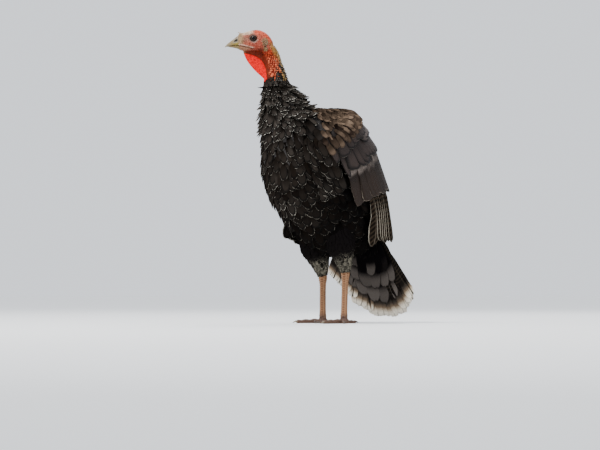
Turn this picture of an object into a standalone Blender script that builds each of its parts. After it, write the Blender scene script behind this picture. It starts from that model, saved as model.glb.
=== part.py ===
"""A life-size domestic turkey of the bronze kind, standing alert with its head turned to its right.

The bird faces -Y, its left side is +X and its soles are at z = 0. Lengths are in metres and angles in degrees.
"""

import math
import random

import bmesh
import bpy
from mathutils import Matrix, Vector

# Clearance between pieces that touch
GAP = 0.0003
CUT_GAP = 0.00045
FLAT_ANGLE = 0.004

# Trunk and feathered neck, from the rump to the top of the feathers: x, y, z, half width, half depth
TRUNK = (
    (0.000, 0.105, 0.192, 0.014, 0.016),
    (0.000, 0.089, 0.202, 0.043, 0.048),
    (0.000, 0.055, 0.225, 0.073, 0.083),
    (0.000, 0.012, 0.263, 0.095, 0.112),
    (0.000, -0.028, 0.316, 0.107, 0.125),
    (0.000, -0.067, 0.374, 0.110, 0.127),
    (0.000, -0.103, 0.424, 0.103, 0.108),
    (0.000, -0.133, 0.463, 0.088, 0.086),
    (0.000, -0.154, 0.497, 0.070, 0.067),
    (0.000, -0.168, 0.529, 0.053, 0.053),
    (-0.002, -0.1775, 0.558, 0.041, 0.043),
    (-0.004, -0.180, 0.580, 0.032, 0.035),
)
TRUNK_SIDES = 24
TRUNK_RINGS = 25
NECK_SHARE = 0.735  # where along the trunk's length the torso ends and the neck begins
TWIST_SHARE = 0.70  # where the neck starts to turn with the head

# Head: its own frame has f forward along the bill, s to the bird's left and z up, from midway between the eyes
HEAD_TURN = 42.0
HEAD_CENTRE = (-0.030, -0.226, 0.6726)
HEAD_SIZE = 0.98
# f, top, bottom, half width
SKULL = (
    (0.037, 0.0075, -0.0270, 0.0085),
    (0.029, 0.0110, -0.0300, 0.0115),
    (0.017, 0.0140, -0.0325, 0.0150),
    (0.003, 0.0178, -0.0335, 0.0180),
    (-0.012, 0.0185, -0.0345, 0.0192),
    (-0.027, 0.0130, -0.0350, 0.0180),
    (-0.038, 0.0030, -0.0345, 0.0145),
    (-0.045, -0.0080, -0.0300, 0.0090),
    (-0.047, -0.0150, -0.0220, 0.0035),
)
SKULL_SIDES = 18
SKULL_RINGS = 14
EYE_RADIUS = 0.0070
EYE_SINK = 0.0030  # how far the eye's centre lies inside the cheek
LID_RADIUS = 0.0063
LID_THICK = 0.0012
EAR_PLACE = (-0.0285, -0.0125)  # f and z
EAR_RADIUS = 0.0045
NOSTRIL_PLACE = (0.0430, -0.0040)

# Bill: f, top, mouth line, bottom, half width
BILL = (
    (0.0300, 0.0068, -0.0200, -0.0285, 0.0100),
    (0.0380, 0.0050, -0.0190, -0.0262, 0.0090),
    (0.0470, -0.0020, -0.0188, -0.0240, 0.0074),
    (0.0560, -0.0088, -0.0194, -0.0228, 0.0052),
    (0.0630, -0.0140, -0.0208, -0.0222, 0.0031),
    (0.0690, -0.0205, -0.0234, -0.0222, 0.0011),
)
LOWER_BILL_END = 0.0625
LOWER_BILL_SHARE = 0.88  # its width next to the upper bill's

# Snood: a short soft horn on the forehead
SNOOD_BASE = (0.0305, 0.0095)
SNOOD_LENGTH = 0.0125
SNOOD_RADIUS = 0.0032

# Bare upper neck in the head's frame: f, z, half width, half depth
BARE_NECK = (
    (-0.0520, -0.1050, 0.0220, 0.0280),
    (-0.0500, -0.0850, 0.0200, 0.0250),
    (-0.0455, -0.0620, 0.0178, 0.0212),
    (-0.0395, -0.0400, 0.0160, 0.0186),
    (-0.0300, -0.0180, 0.0150, 0.0170),
)
BARE_NECK_SIDES = 20
BARE_NECK_RINGS = 17
CARUNCLE_HEIGHT = 0.0023
THROAT_CARUNCLE_RADIUS = 0.0046
THROAT_CARUNCLES = 5

# Dewlap: f and z along its root, inside the throat, and along its free edge
DEWLAP_ROOT = ((0.022, -0.024), (0.006, -0.025), (-0.014, -0.029), (-0.031, -0.044),
               (-0.036, -0.066), (-0.038, -0.086), (-0.039, -0.098))
DEWLAP_EDGE = ((0.026, -0.031), (0.0215, -0.045), (0.0135, -0.0595), (0.0030, -0.0725),
               (-0.0070, -0.0830), (-0.0175, -0.0925), (-0.0255, -0.1000))
DEWLAP_THICK = 0.0060
DEWLAP_EDGE_THICK = 0.0022
DEWLAP_WAVE = 0.0012

# Legs: the left and the right one stand a little differently
LEG_POINTS = {
    "left": {"top": (0.045, -0.036, 0.240), "thigh": (0.051, -0.023, 0.190), "calf": (0.049, -0.011, 0.153),
             "hock": (0.047, -0.003, 0.1235), "foot": (0.057, -0.017, 0.012), "heading": 9.0},
    "right": {"top": (-0.043, -0.028, 0.236), "thigh": (-0.047, -0.015, 0.185), "calf": (-0.044, -0.002, 0.145),
              "hock": (-0.040, 0.004, 0.1130), "foot": (-0.034, -0.002, 0.012), "heading": -6.0},
}
THIGH_RADII = (0.036, 0.037, 0.0240, 0.0128)
THIGH_SIDES = 16
SHANK_HALF_WIDTH = 0.0066
SHANK_HALF_DEPTH = 0.0078
SHANK_SIDES = 10
SHANK_SCUTES = 12
SCUTE_STEP = 0.00065
HOCK_SWELL = 0.40
ANKLE_SWELL = 0.22

# Toes: angle from the foot's heading (towards its outer side), length, radius and number of scutes
TOES = {
    "inner": (-36.0, 0.043, 0.0047, 4),
    "middle": (0.0, 0.060, 0.0052, 6),
    "outer": (38.0, 0.045, 0.0046, 4),
    "hind": (172.0, 0.021, 0.0042, 2),
}
TOE_SIDES = 8
TOE_START = 0.0165
FOOT_RADIUS = 0.0115
FOOT_HEIGHT = 0.0085
CLAW_LENGTH = 0.0125
CLAW_RADIUS = 0.0027

# Feather vanes
VANE_THICK = 0.0008
VANE_STATIONS = (0.0, 0.45, 0.86, 1.0)
VANE_WIDTHS = (0.55, 1.0, 0.88, 0.38)
FEATHER_GAP = 0.0006

# Wing: it lies on a tube round a slanting axis. Radii across and up, by distance down the axis
WING_START = (0.0, -0.130, 0.467)
WING_SLOPE = 56.0  # degrees below the horizontal
WING_SPANS = (-0.035, 0.000, 0.050, 0.140, 0.260, 0.380)
WING_ACROSS = (0.060, 0.085, 0.110, 0.118, 0.106, 0.078)
WING_UPWARD = (0.034, 0.066, 0.120, 0.134, 0.123, 0.100)
WING_SQUARE = 0.62  # under 1 for a section with fuller corners than an ellipse
WING_PIVOT = (0.0, -0.105, 0.440)
WING_DROOP = {"left": 0.0, "right": 19.0}
# Feather tiers, lowest first: count, root and tip distances at the lower and the upper edge,
# angles from the back at root and tip, half width, height, rise from one vane to the next, tilt
WING_TIERS = {
    "primary": (8, (0.135, 0.135), (0.345, 0.354), (96.0, 70.0), (84.0, 65.0), 0.0125, 0.0020, 0.00035, 0.17),
    "secondary": (8, (0.100, 0.105), (0.222, 0.262), (86.0, 27.0), (87.0, 25.0), 0.0155, 0.0085, 0.0002, 0.11),
    "greater_covert": (7, (0.062, 0.070), (0.146, 0.160), (84.0, 28.0), (86.0, 26.0), 0.0135, 0.0140, 0.0001, 0.11),
    "scapular": (5, (0.025, 0.030), (0.108, 0.122), (76.0, 24.0), (80.0, 24.0), 0.0155, 0.0195, 0.0, 0.09),
}
# The drooping wing's primaries are fanned a little
DROOPED_TIPS = (0.258, 0.345)
DROOPED_TIP_ANGLES = (98.0, 70.0)
# Wing's arm and small coverts, one smooth wedge: distances down the axis, outer heights, angles of its two edges
ARM_SPANS = (-0.034, -0.022, 0.000, 0.035, 0.070, 0.105, 0.140, 0.168)
ARM_HEIGHTS = (0.0060, 0.0130, 0.0200, 0.0230, 0.0205, 0.0150, 0.0090, 0.0035)
ARM_UPPER = (62.0, 46.0, 30.0, 21.0, 19.0, 20.0, 24.0, 34.0)
ARM_LOWER = (80.0, 84.0, 90.0, 94.0, 97.0, 99.0, 98.0, 96.0)
ARM_ACROSS = 9  # points across the outer side
ARM_INNER = -0.010

# Tail: a fan that hangs from the rump
TAIL_APEX = (0.0, 0.094, 0.262)
TAIL_SLOPE = 74.0  # degrees below the horizontal
TAIL_ARCH = 0.55  # how far the fan's sides fold forward, per metre squared
# Outline of the fan: angles towards the left side, and the feathers' lengths there
FAN_ANGLES = (-48.0, -30.0, -17.0, -3.0, 8.0, 20.0, 29.0, 36.0)
FAN_LENGTHS = (0.200, 0.219, 0.242, 0.261, 0.265, 0.263, 0.256, 0.240)
# Feather tiers: count, angles of the outer ones, root distance, share of the fan's length, half width,
# height towards the back, step from one vane to the next outward one, tilt
TAIL_TIERS = {
    "rectrix": (13, (-45.0, 31.0), 0.035, 1.00, 0.0250, 0.0, -0.0006, 0.055),
    "upper_covert": (5, (-26.0, 20.0), 0.020, 0.58, 0.0190, 0.0065, -0.0006, 0.055),
    "back_covert": (4, (-19.0, 15.0), 0.000, 0.39, 0.0180, 0.0115, -0.0006, 0.055),
    "under_covert": (7, (-34.0, 25.0), 0.020, 0.66, 0.0205, -0.0130, 0.0006, -0.055),
    "vent_covert": (5, (-26.0, 20.0), 0.000, 0.45, 0.0190, -0.0185, 0.0006, -0.055),
}
# Core of the tail: distance from the apex, half width, and how far it reaches to the back and to the front
TAIL_CORE = (
    (-0.045, 0.016, 0.010, 0.012),
    (-0.030, 0.034, 0.018, 0.022),
    (0.000, 0.046, 0.019, 0.028),
    (0.035, 0.050, 0.013, 0.023),
    (0.070, 0.046, 0.006, 0.013),
    (0.085, 0.034, 0.002, 0.005),
)
TAIL_CORE_SIDES = 14

# Colours and finish of each kind of surface: red, green, blue, roughness
FINISHES = {
    "body_feathers": (0.035, 0.030, 0.027, 0.55),
    "wing_feathers": (0.085, 0.062, 0.048, 0.50),
    "tail_feathers": (0.045, 0.038, 0.033, 0.50),
    "leg_feathers": (0.085, 0.075, 0.060, 0.70),
    "red_skin": (0.560, 0.060, 0.035, 0.50),
    "face_skin": (0.560, 0.200, 0.160, 0.50),
    "neck_skin": (0.480, 0.110, 0.040, 0.50),
    "horn": (0.420, 0.350, 0.210, 0.35),
    "scaly_skin": (0.430, 0.210, 0.115, 0.55),
    "claw_horn": (0.230, 0.180, 0.140, 0.40),
    "eye": (0.030, 0.018, 0.012, 0.08),
}

# Pieces that are joined from many, whose flat faces are tidied at the end
FUSED = ("head", "neck_upper", "wing_left", "wing_right", "tail", "foot_left", "foot_right", "shank_left",
         "shank_right")

X_AXIS = Vector((1.0, 0.0, 0.0))
UP = Vector((0.0, 0.0, 1.0))


def clear_scene():
    for item in list(bpy.data.objects):
        bpy.data.objects.remove(item, do_unlink=True)


def finish_material(kind):
    """The material of one kind of surface, made once."""
    material = bpy.data.materials.get(kind)
    if material is None:
        red, green, blue, roughness = FINISHES[kind]
        material = bpy.data.materials.new(kind)
        material.use_nodes = True
        shader = material.node_tree.nodes["Principled BSDF"]
        shader.inputs["Base Color"].default_value = (red, green, blue, 1.0)
        shader.inputs["Roughness"].default_value = roughness
        shader.inputs["Metallic"].default_value = 0.0
        material.diffuse_color = (red, green, blue, 1.0)
    return material


def mesh_object(name, points, faces, kind):
    """A new object of triangles from points and faces, turned outwards."""
    mesh = bpy.data.meshes.new(name)
    mesh.from_pydata([tuple(p) for p in points], [], faces)
    shape = bmesh.new()
    shape.from_mesh(mesh)
    bmesh.ops.triangulate(shape, faces=shape.faces)
    bmesh.ops.recalc_face_normals(shape, faces=shape.faces)
    if shape.calc_volume(signed=True) < 0:
        bmesh.ops.reverse_faces(shape, faces=shape.faces)
    shape.to_mesh(mesh)
    shape.free()
    mesh.materials.append(finish_material(kind))
    item = bpy.data.objects.new(name, mesh)
    bpy.context.scene.collection.objects.link(item)
    return item


def apply_modifier(item, modifier):
    bpy.ops.object.select_all(action="DESELECT")
    bpy.context.view_layer.objects.active = item
    item.select_set(True)
    bpy.ops.object.modifier_apply(modifier=modifier.name)


def keep_largest(item):
    """Drops every closed surface of a mesh but the largest."""
    shape = bmesh.new()
    shape.from_mesh(item.data)
    unseen = set(shape.verts)
    groups = []
    while unseen:
        reached = [unseen.pop()]
        group = list(reached)
        while reached:
            for edge in reached.pop().link_edges:
                for corner in edge.verts:
                    if corner in unseen:
                        unseen.discard(corner)
                        reached.append(corner)
                        group.append(corner)
        groups.append(group)

    def reach(group):
        lows = [min(v.co[i] for v in group) for i in range(3)]
        highs = [max(v.co[i] for v in group) for i in range(3)]
        return (Vector(highs) - Vector(lows)).length

    largest = max(groups, key=reach)
    for group in groups:
        if group is not largest:
            bmesh.ops.delete(shape, geom=group, context="VERTS")
    shape.to_mesh(item.data)
    shape.free()


def fuse(body, pieces, solver="MANIFOLD"):
    """Joins pieces to a body with one Boolean union, and removes them."""
    group = bpy.data.collections.new(body.name + "_pieces")
    bpy.context.scene.collection.children.link(group)
    for piece in pieces:
        bpy.context.scene.collection.objects.unlink(piece)
        group.objects.link(piece)
    union = body.modifiers.new("union", "BOOLEAN")
    union.operation = "UNION"
    union.operand_type = "COLLECTION"
    union.collection = group
    union.solver = solver
    apply_modifier(body, union)
    for piece in pieces:
        bpy.data.objects.remove(piece, do_unlink=True)
    bpy.data.collections.remove(group)
    keep_largest(body)
    return body


def swollen_copy(item, amount):
    """A copy of a piece whose surface lies a little further out."""
    copy = item.copy()
    copy.data = item.data.copy()
    bpy.context.scene.collection.objects.link(copy)
    shape = bmesh.new()
    shape.from_mesh(copy.data)
    shape.normal_update()
    moves = {v: v.normal * amount * max(1.0, v.calc_shell_factor()) for v in shape.verts}
    for vertex, move in moves.items():
        vertex.co += move
    shape.to_mesh(copy.data)
    shape.free()
    return copy


def subtract(item, cutter, solver="MANIFOLD"):
    """Cuts one piece from another, and removes the cutter."""
    cut = item.modifiers.new("cut", "BOOLEAN")
    cut.operation = "DIFFERENCE"
    cut.object = cutter
    cut.solver = solver
    apply_modifier(item, cut)
    bpy.data.objects.remove(cutter, do_unlink=True)


def cut_clear(item, neighbour):
    """Cuts a piece back so that it meets its neighbour with a narrow gap."""
    subtract(item, swollen_copy(neighbour, CUT_GAP))
    keep_largest(item)


def merge_flat_faces(item):
    """Joins the slivers that Boolean cuts leave in flat faces, then makes triangles again."""
    shape = bmesh.new()
    shape.from_mesh(item.data)
    bmesh.ops.dissolve_limit(shape, angle_limit=FLAT_ANGLE, verts=shape.verts, edges=shape.edges)
    bmesh.ops.triangulate(shape, faces=shape.faces)
    shape.to_mesh(item.data)
    shape.free()


def smooth_row(table, share):
    """A row of numbers read from a table at a share of its length, on a smooth curve through its rows."""
    last = len(table) - 1
    place = min(max(share, 0.0), 1.0) * last
    index = min(int(place), last - 1)
    t = place - index
    before = table[max(index - 1, 0)]
    start = table[index]
    end = table[index + 1]
    after = table[min(index + 2, last)]
    row = []
    for a, b, c, d in zip(before, start, end, after):
        row.append(0.5 * (2 * b + (c - a) * t + (2 * a - 5 * b + 4 * c - d) * t * t
                          + (3 * b - a - 3 * c + d) * t * t * t))
    return row


def steady_read(keys, values, key):
    """A value between the two nearest keys of a rising list."""
    if key <= keys[0]:
        return values[0]
    for i in range(1, len(keys)):
        if key <= keys[i]:
            t = (key - keys[i - 1]) / (keys[i] - keys[i - 1])
            return values[i - 1] + (values[i] - values[i - 1]) * t
    return values[-1]


def ring_tube(name, rings, kind):
    """A closed tube through rings of points that all have the same count."""
    count = len(rings[0])
    points = [point for ring in rings for point in ring]
    faces = []
    for i in range(len(rings) - 1):
        for j in range(count):
            k = (j + 1) % count
            a, b = i * count + j, i * count + k
            faces.append((a, b, b + count, a + count))
    faces.append(tuple(reversed(range(count))))
    faces.append(tuple(range((len(rings) - 1) * count, len(rings) * count)))
    return mesh_object(name, points, faces, kind)


def full_curve(value, power):
    """A sine or cosine changed so that the oval it draws has fuller corners."""
    return math.copysign(abs(value) ** power, value)


def oval(centre, across, upward, half_across, half_up, sides, power=1.0):
    """Points round an oval. A power under 1 makes it squarer."""
    points = []
    for i in range(sides):
        angle = 2 * math.pi * i / sides
        c, s = full_curve(math.cos(angle), power), full_curve(math.sin(angle), power)
        points.append(centre + across * (half_across * s) + upward * (half_up * c))
    return points


def trunk_frame(share):
    """Centre, left and back directions, half width and half depth of the trunk at a share of its length."""
    x, y, z, half_width, half_depth = smooth_row(TRUNK, share)
    step = 0.01
    ahead = Vector(smooth_row(TRUNK, share + step)[:3])
    behind = Vector(smooth_row(TRUNK, share - step)[:3])
    along = (ahead - behind).normalized()
    turn = max(0.0, (share - TWIST_SHARE) / (1.0 - TWIST_SHARE))
    yaw = math.radians(HEAD_TURN) * turn * turn * (3 - 2 * turn)
    left = Vector((math.cos(yaw), -math.sin(yaw), 0.0))
    left = (left - along * left.dot(along)).normalized()
    back = left.cross(along).normalized()
    if back.y < 0:
        back = -back
    return Vector((x, y, z)), left, back, half_width, half_depth, along


def trunk_ring(share, shift=0.0):
    centre, left, back, half_width, half_depth, along = trunk_frame(share)
    return oval(centre + along * shift, left, back, half_width, half_depth, TRUNK_SIDES, 0.94)


def make_torso_and_neck():
    shares = [i / TRUNK_RINGS for i in range(TRUNK_RINGS + 1)]
    low = [s for s in shares if s < NECK_SHARE - 0.01]
    high = [s for s in shares if s > NECK_SHARE + 0.01]
    torso_rings = [trunk_ring(s) for s in low] + [trunk_ring(NECK_SHARE)]
    neck_rings = [trunk_ring(NECK_SHARE, GAP)] + [trunk_ring(s) for s in high]
    torso = ring_tube("torso", torso_rings, "body_feathers")
    neck = ring_tube("neck", neck_rings, "body_feathers")
    return torso, neck


def head_axes():
    """Forward and left directions of the head."""
    turn = math.radians(HEAD_TURN)
    forward = Vector((-math.sin(turn), -math.cos(turn), 0.0))
    left = Vector((math.cos(turn), -math.sin(turn), 0.0))
    return forward, left


def head_point(f, s, z):
    """A point in the head's own frame, in world coordinates."""
    forward, left = head_axes()
    return Vector(HEAD_CENTRE) + (forward * f + left * s + UP * z) * HEAD_SIZE


def skull_width(f, z):
    """Half width of the skull at a place in its profile."""
    rows = sorted(SKULL)
    keys = [row[0] for row in rows]
    top = steady_read(keys, [row[1] for row in rows], f)
    bottom = steady_read(keys, [row[2] for row in rows], f)
    width = steady_read(keys, [row[3] for row in rows], f)
    middle, half = (top + bottom) / 2, (top - bottom) / 2
    rise = min(abs((z - middle) / half), 0.99)
    return width * math.sqrt(1 - rise * rise)


def make_head():
    forward, left = head_axes()
    rings = []
    for i in range(SKULL_RINGS):
        f, top, bottom, width = smooth_row(SKULL, i / (SKULL_RINGS - 1))
        centre = head_point(f, 0.0, (top + bottom) / 2)
        rings.append(oval(centre, left, UP, width, (top - bottom) / 2, SKULL_SIDES, 0.92))
    head = ring_tube("head", rings, "face_skin")
    lids = []
    for side in (1, -1):
        lids.append(make_lid(side))
        lids.append(make_ear_rim(side))
    fuse(head, lids)
    for side in (1, -1):
        subtract(head, make_ball("socket", eye_centre(side), EYE_RADIUS + CUT_GAP, 14, 9, "face_skin"))
        ear = head_point(EAR_PLACE[0], side * (skull_width(*EAR_PLACE) + 0.0020), EAR_PLACE[1])
        subtract(head, make_ball("ear", ear, EAR_RADIUS * 0.62, 8, 6, "face_skin"))
        subtract(head, make_mouth_groove(side))
    keep_largest(head)
    return head


def make_ball(name, centre, radius, columns, rows, kind):
    rings = []
    for i in range(1, rows):
        angle = math.pi * i / rows
        ring_centre = centre + UP * (radius * math.cos(angle))
        rings.append(oval(ring_centre, X_AXIS, Vector((0, 1, 0)), radius * math.sin(angle),
                          radius * math.sin(angle), columns))
    points = [point for ring in rings for point in ring] + [centre + UP * radius, centre - UP * radius]
    top, bottom = len(points) - 2, len(points) - 1
    faces = []
    for j in range(columns):
        k = (j + 1) % columns
        faces.append((top, j, k))
        last = (rows - 2) * columns
        faces.append((bottom, last + k, last + j))
        for i in range(rows - 2):
            a, b = i * columns + j, i * columns + k
            faces.append((a, a + columns, b + columns, b))
    return mesh_object(name, points, faces, kind)


def eye_centre(side):
    return head_point(0.0, side * (skull_width(0.0, 0.0) - EYE_SINK), 0.0)


def make_hoop(name, centre, outward, radius, thick, kind, columns=14, sides=5):
    """A small ring that lies flat on a surface which faces outward."""
    first = outward.cross(UP).normalized()
    second = first.cross(outward).normalized()
    points = []
    faces = []
    for i in range(columns):
        angle = 2 * math.pi * i / columns
        ray = first * math.cos(angle) + second * math.sin(angle)
        for j in range(sides):
            turn = 2 * math.pi * j / sides
            points.append(centre + ray * (radius + thick * math.cos(turn)) + outward * (thick * math.sin(turn)))
            a = i * sides + j
            b = i * sides + (j + 1) % sides
            c = ((i + 1) % columns) * sides + (j + 1) % sides
            d = ((i + 1) % columns) * sides + j
            faces.append((a, b, c, d))
    return mesh_object(name, points, faces, kind)


def make_lid(side):
    outward = head_axes()[1] * side
    centre = head_point(0.0, side * (skull_width(0.0, 0.0) + 0.0002), 0.0)
    return make_hoop("lid", centre, outward, LID_RADIUS, LID_THICK, "face_skin")


def make_ear_rim(side):
    outward = head_axes()[1] * side
    centre = head_point(EAR_PLACE[0], side * (skull_width(*EAR_PLACE) + 0.0001), EAR_PLACE[1])
    return make_hoop("ear_rim", centre, outward, EAR_RADIUS, 0.0012, "face_skin", 10)


def make_mouth_groove(side):
    """A thin wedge that cuts the line of the mouth into the cheek, back to below the eye."""
    places = ((0.040, -0.0192), (0.030, -0.0202), (0.018, -0.0228), (0.006, -0.0268), (-0.003, -0.0298))
    rings = []
    for i, (f, z) in enumerate(places):
        width = skull_width(min(f, 0.036), z)
        half = 0.0007 if i < len(places) - 1 else 0.0003
        deep = 0.0016 if i < len(places) - 1 else 0.0004
        rings.append([head_point(f, side * (width + 0.004), z + half * 2),
                      head_point(f, side * (width + 0.004), z - half * 2),
                      head_point(f, side * (width - deep), z)])
    return ring_tube("groove", rings, "face_skin")


def make_bill():
    """Upper and lower bill, which meet along the mouth line."""
    upper_rings = []
    lower_rings = []
    for i in range(9):
        f, top, mouth, bottom, width = smooth_row(BILL, i / 8)
        upper_rings.append([
            head_point(f, 0.0, top),
            head_point(f, width * 0.48, top - (top - mouth) * 0.16),
            head_point(f, width * 0.86, top - (top - mouth) * 0.50),
            head_point(f, width, mouth + 0.0004),
            head_point(f, width * 0.55, mouth + GAP / 2),
            head_point(f, 0.0, mouth + GAP / 2),
            head_point(f, -width * 0.55, mouth + GAP / 2),
            head_point(f, -width, mouth + 0.0004),
            head_point(f, -width * 0.86, top - (top - mouth) * 0.50),
            head_point(f, -width * 0.48, top - (top - mouth) * 0.16),
        ])
    for i in range(7):
        share = i / 6 * (LOWER_BILL_END - BILL[0][0]) / (BILL[-1][0] - BILL[0][0])
        f, top, mouth, bottom, width = smooth_row(BILL, share)
        width *= LOWER_BILL_SHARE * (1.0 if i < 6 else 0.6)
        low = bottom if i < 6 else (bottom + mouth) / 2
        lower_rings.append([
            head_point(f, width, mouth - GAP),
            head_point(f, width * 0.80, mouth - GAP - (mouth - low) * 0.55),
            head_point(f, width * 0.35, low),
            head_point(f, -width * 0.35, low),
            head_point(f, -width * 0.80, mouth - GAP - (mouth - low) * 0.55),
            head_point(f, -width, mouth - GAP),
        ])
    upper = ring_tube("bill_upper", upper_rings, "horn")
    lower = ring_tube("bill_lower", lower_rings, "horn")
    f, z = NOSTRIL_PLACE
    for side in (1, -1):
        slot = make_ball("nostril", Vector((0, 0, 0)), 0.0015, 10, 8, "horn")
        forward, left = head_axes()
        for vertex in slot.data.vertices:
            local = vertex.co.copy()
            vertex.co = head_point(f, side * 0.0068, z) + forward * local.x * 1.7 + left * local.y + UP * (
                local.z * 0.75 - local.x * 0.6)
        subtract(upper, slot)
    return upper, lower


def make_snood():
    forward, left = head_axes()
    rings = []
    for i in range(6):
        t = i / 5
        f = SNOOD_BASE[0] - 0.002 + SNOOD_LENGTH * (0.55 * t + 0.30 * t * t)
        z = SNOOD_BASE[1] - 0.003 + SNOOD_LENGTH * (1.05 * t - 0.42 * t * t)
        radius = SNOOD_RADIUS * (1.0 - 0.62 * t) * (0.55 if i == 5 else 1.0)
        rings.append(oval(head_point(f, 0.0, z), left, (forward * -0.75 + UP * 0.66), radius, radius, 8))
    return ring_tube("snood", rings, "face_skin")


def make_bare_neck():
    """The warty upper neck: staggered points of its surface stand out as small bulbs."""
    draw = random.Random(7)
    forward, left = head_axes()
    rings = []
    for i in range(BARE_NECK_RINGS):
        f, z, width, depth = smooth_row(BARE_NECK, i / (BARE_NECK_RINGS - 1))
        points = []
        for j in range(BARE_NECK_SIDES):
            angle = 2 * math.pi * j / BARE_NECK_SIDES
            raised = i % 2 == 1 and (j + i // 2) % 2 == 0
            lift = CARUNCLE_HEIGHT * draw.uniform(0.6, 1.2) if raised else 0.0
            points.append(head_point(f - (depth + lift) * math.cos(angle), (width + lift) * math.sin(angle), z))
        rings.append(points)
    return ring_tube("neck_upper", rings, "neck_skin")


def make_throat_caruncles():
    """Large fleshy bulbs low on the throat."""
    draw = random.Random(11)
    forward, left = head_axes()
    bulbs = []
    for i in range(THROAT_CARUNCLES):
        angle = math.radians(-70 + 140 * i / (THROAT_CARUNCLES - 1))
        f, z, width, depth = smooth_row(BARE_NECK, 0.30 + 0.05 * (i % 2))
        outward = left * math.sin(angle) + forward * math.cos(angle)
        place = head_point(f + depth * math.cos(angle), width * math.sin(angle), z)
        bulbs.append(make_bulb(place, THROAT_CARUNCLE_RADIUS * draw.uniform(0.85, 1.1), outward))
    return bulbs


def make_bulb(place, radius, outward):
    """A small dome on the skin, sunk a little into it."""
    first = outward.cross(UP).normalized()
    second = first.cross(outward).normalized()
    rings = []
    for reach, rise in ((0.9, -0.7), (1.0, 0.2), (0.45, 0.85)):
        rings.append(oval(place + outward * (radius * rise), first, second, radius * reach, radius * reach, 5))
    return ring_tube("bulb", rings, "neck_skin")


def make_dewlap():
    rings = []
    last = len(DEWLAP_ROOT) - 1
    for i in range(9):
        t = i / 8
        root = smooth_row(DEWLAP_ROOT, t)
        edge = smooth_row(DEWLAP_EDGE, t)
        wave = DEWLAP_WAVE * math.sin(t * math.pi * 2.6)
        taper = 0.35 + 0.65 * math.sin(math.pi * min(max(t, 0.06), 0.94))
        middle = [(a + b) / 2 for a, b in zip(root, edge)]
        thick = DEWLAP_THICK / 2 * taper
        thin = DEWLAP_EDGE_THICK / 2 * taper
        rings.append([
            head_point(root[0], thick, root[1]),
            head_point(middle[0], wave * 0.5 + thick * 0.75, middle[1]),
            head_point(edge[0], wave + thin, edge[1]),
            head_point(edge[0], wave - thin, edge[1]),
            head_point(middle[0], wave * 0.5 - thick * 0.75, middle[1]),
            head_point(root[0], -thick, root[1]),
        ])
    return ring_tube("dewlap", rings, "red_skin")


def limb_rings(path, radii_across, radii_front, sides, shares):
    """Rings along a smooth path of points. Radii are read at each share of its length."""
    rings = []
    for share in shares:
        centre = Vector(smooth_row(path, share))
        along = Vector(smooth_row(path, share + 0.02)) - Vector(smooth_row(path, share - 0.02))
        along.normalize()
        across = (X_AXIS - along * X_AXIS.dot(along)).normalized()
        front = along.cross(across).normalized()
        if front.y > 0:
            front = -front
        keys = [i / (len(radii_across) - 1) for i in range(len(radii_across))]
        half_across = steady_read(keys, radii_across, share)
        half_front = steady_read(keys, radii_front, share)
        rings.append(oval(centre, across, front, half_across, half_front, sides))
    return rings


def make_thigh(side):
    leg = LEG_POINTS[side]
    path = (leg["top"], leg["thigh"], leg["calf"], leg["hock"])
    radii = tuple(smooth_row([(r,) for r in THIGH_RADII], i / 12)[0] for i in range(13))
    rings = limb_rings(path, radii, radii, THIGH_SIDES, [i / 10 for i in range(11)])
    return ring_tube("thigh_" + side, rings, "leg_feathers")


def make_shank(side):
    """The scaly shank. Plates step out of its front, one above the other."""
    leg = LEG_POINTS[side]
    hock = Vector(leg["hock"])
    foot = Vector(leg["foot"])
    along = (foot - hock).normalized()
    across = (X_AXIS - along * X_AXIS.dot(along)).normalized()
    front = along.cross(across).normalized()
    if front.y > 0:
        front = -front
    start = hock + along * GAP
    length = (foot - start).length
    rings = []
    stations = []
    for i in range(SHANK_SCUTES):
        stations.append(((i + 0.02) / SHANK_SCUTES, 0.0))
        stations.append(((i + 0.90) / SHANK_SCUTES, SCUTE_STEP))
    stations.append((1.0, 0.0))
    for share, raised in stations:
        swell = 1.0 + HOCK_SWELL * math.exp(-((share - 0.04) / 0.11) ** 2)
        swell += ANKLE_SWELL * math.exp(-((share - 1.0) / 0.10) ** 2)
        points = []
        for j in range(SHANK_SIDES):
            angle = 2 * math.pi * j / SHANK_SIDES
            facing = max(0.0, math.cos(angle))
            lift = raised if facing > 0.3 else 0.0
            points.append(start + along * (length * share)
                          + across * (math.sin(angle) * (SHANK_HALF_WIDTH * swell + lift))
                          + front * (math.cos(angle) * (SHANK_HALF_DEPTH * swell + lift)))
        rings.append(points)
    return ring_tube("shank_" + side, rings, "scaly_skin")


def toe_frame(side, toe):
    """Where a toe starts from, its direction along the floor and the direction across it."""
    leg = LEG_POINTS[side]
    outer = 1 if side == "left" else -1
    angle = math.radians(leg["heading"] + outer * TOES[toe][0])
    along = Vector((math.sin(angle), -math.cos(angle), 0.0))
    across = Vector((along.y, -along.x, 0.0))
    centre = Vector((leg["foot"][0], leg["foot"][1], 0.0))
    return centre, along, across


def floor_ring(centre, across, radius, sides, lift=0.0):
    """A ring round a toe. Its underside is flat on the floor, and the plates on its top can be raised."""
    points = []
    for j in range(sides):
        angle = 2 * math.pi * (j + 0.5) / sides
        raised = lift if math.cos(angle) > 0.3 else 0.0
        point = centre + across * (math.sin(angle) * (radius + raised))
        point.z = max(0.0, centre.z + math.cos(angle) * (radius + raised))
        points.append(point)
    return points


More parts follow.
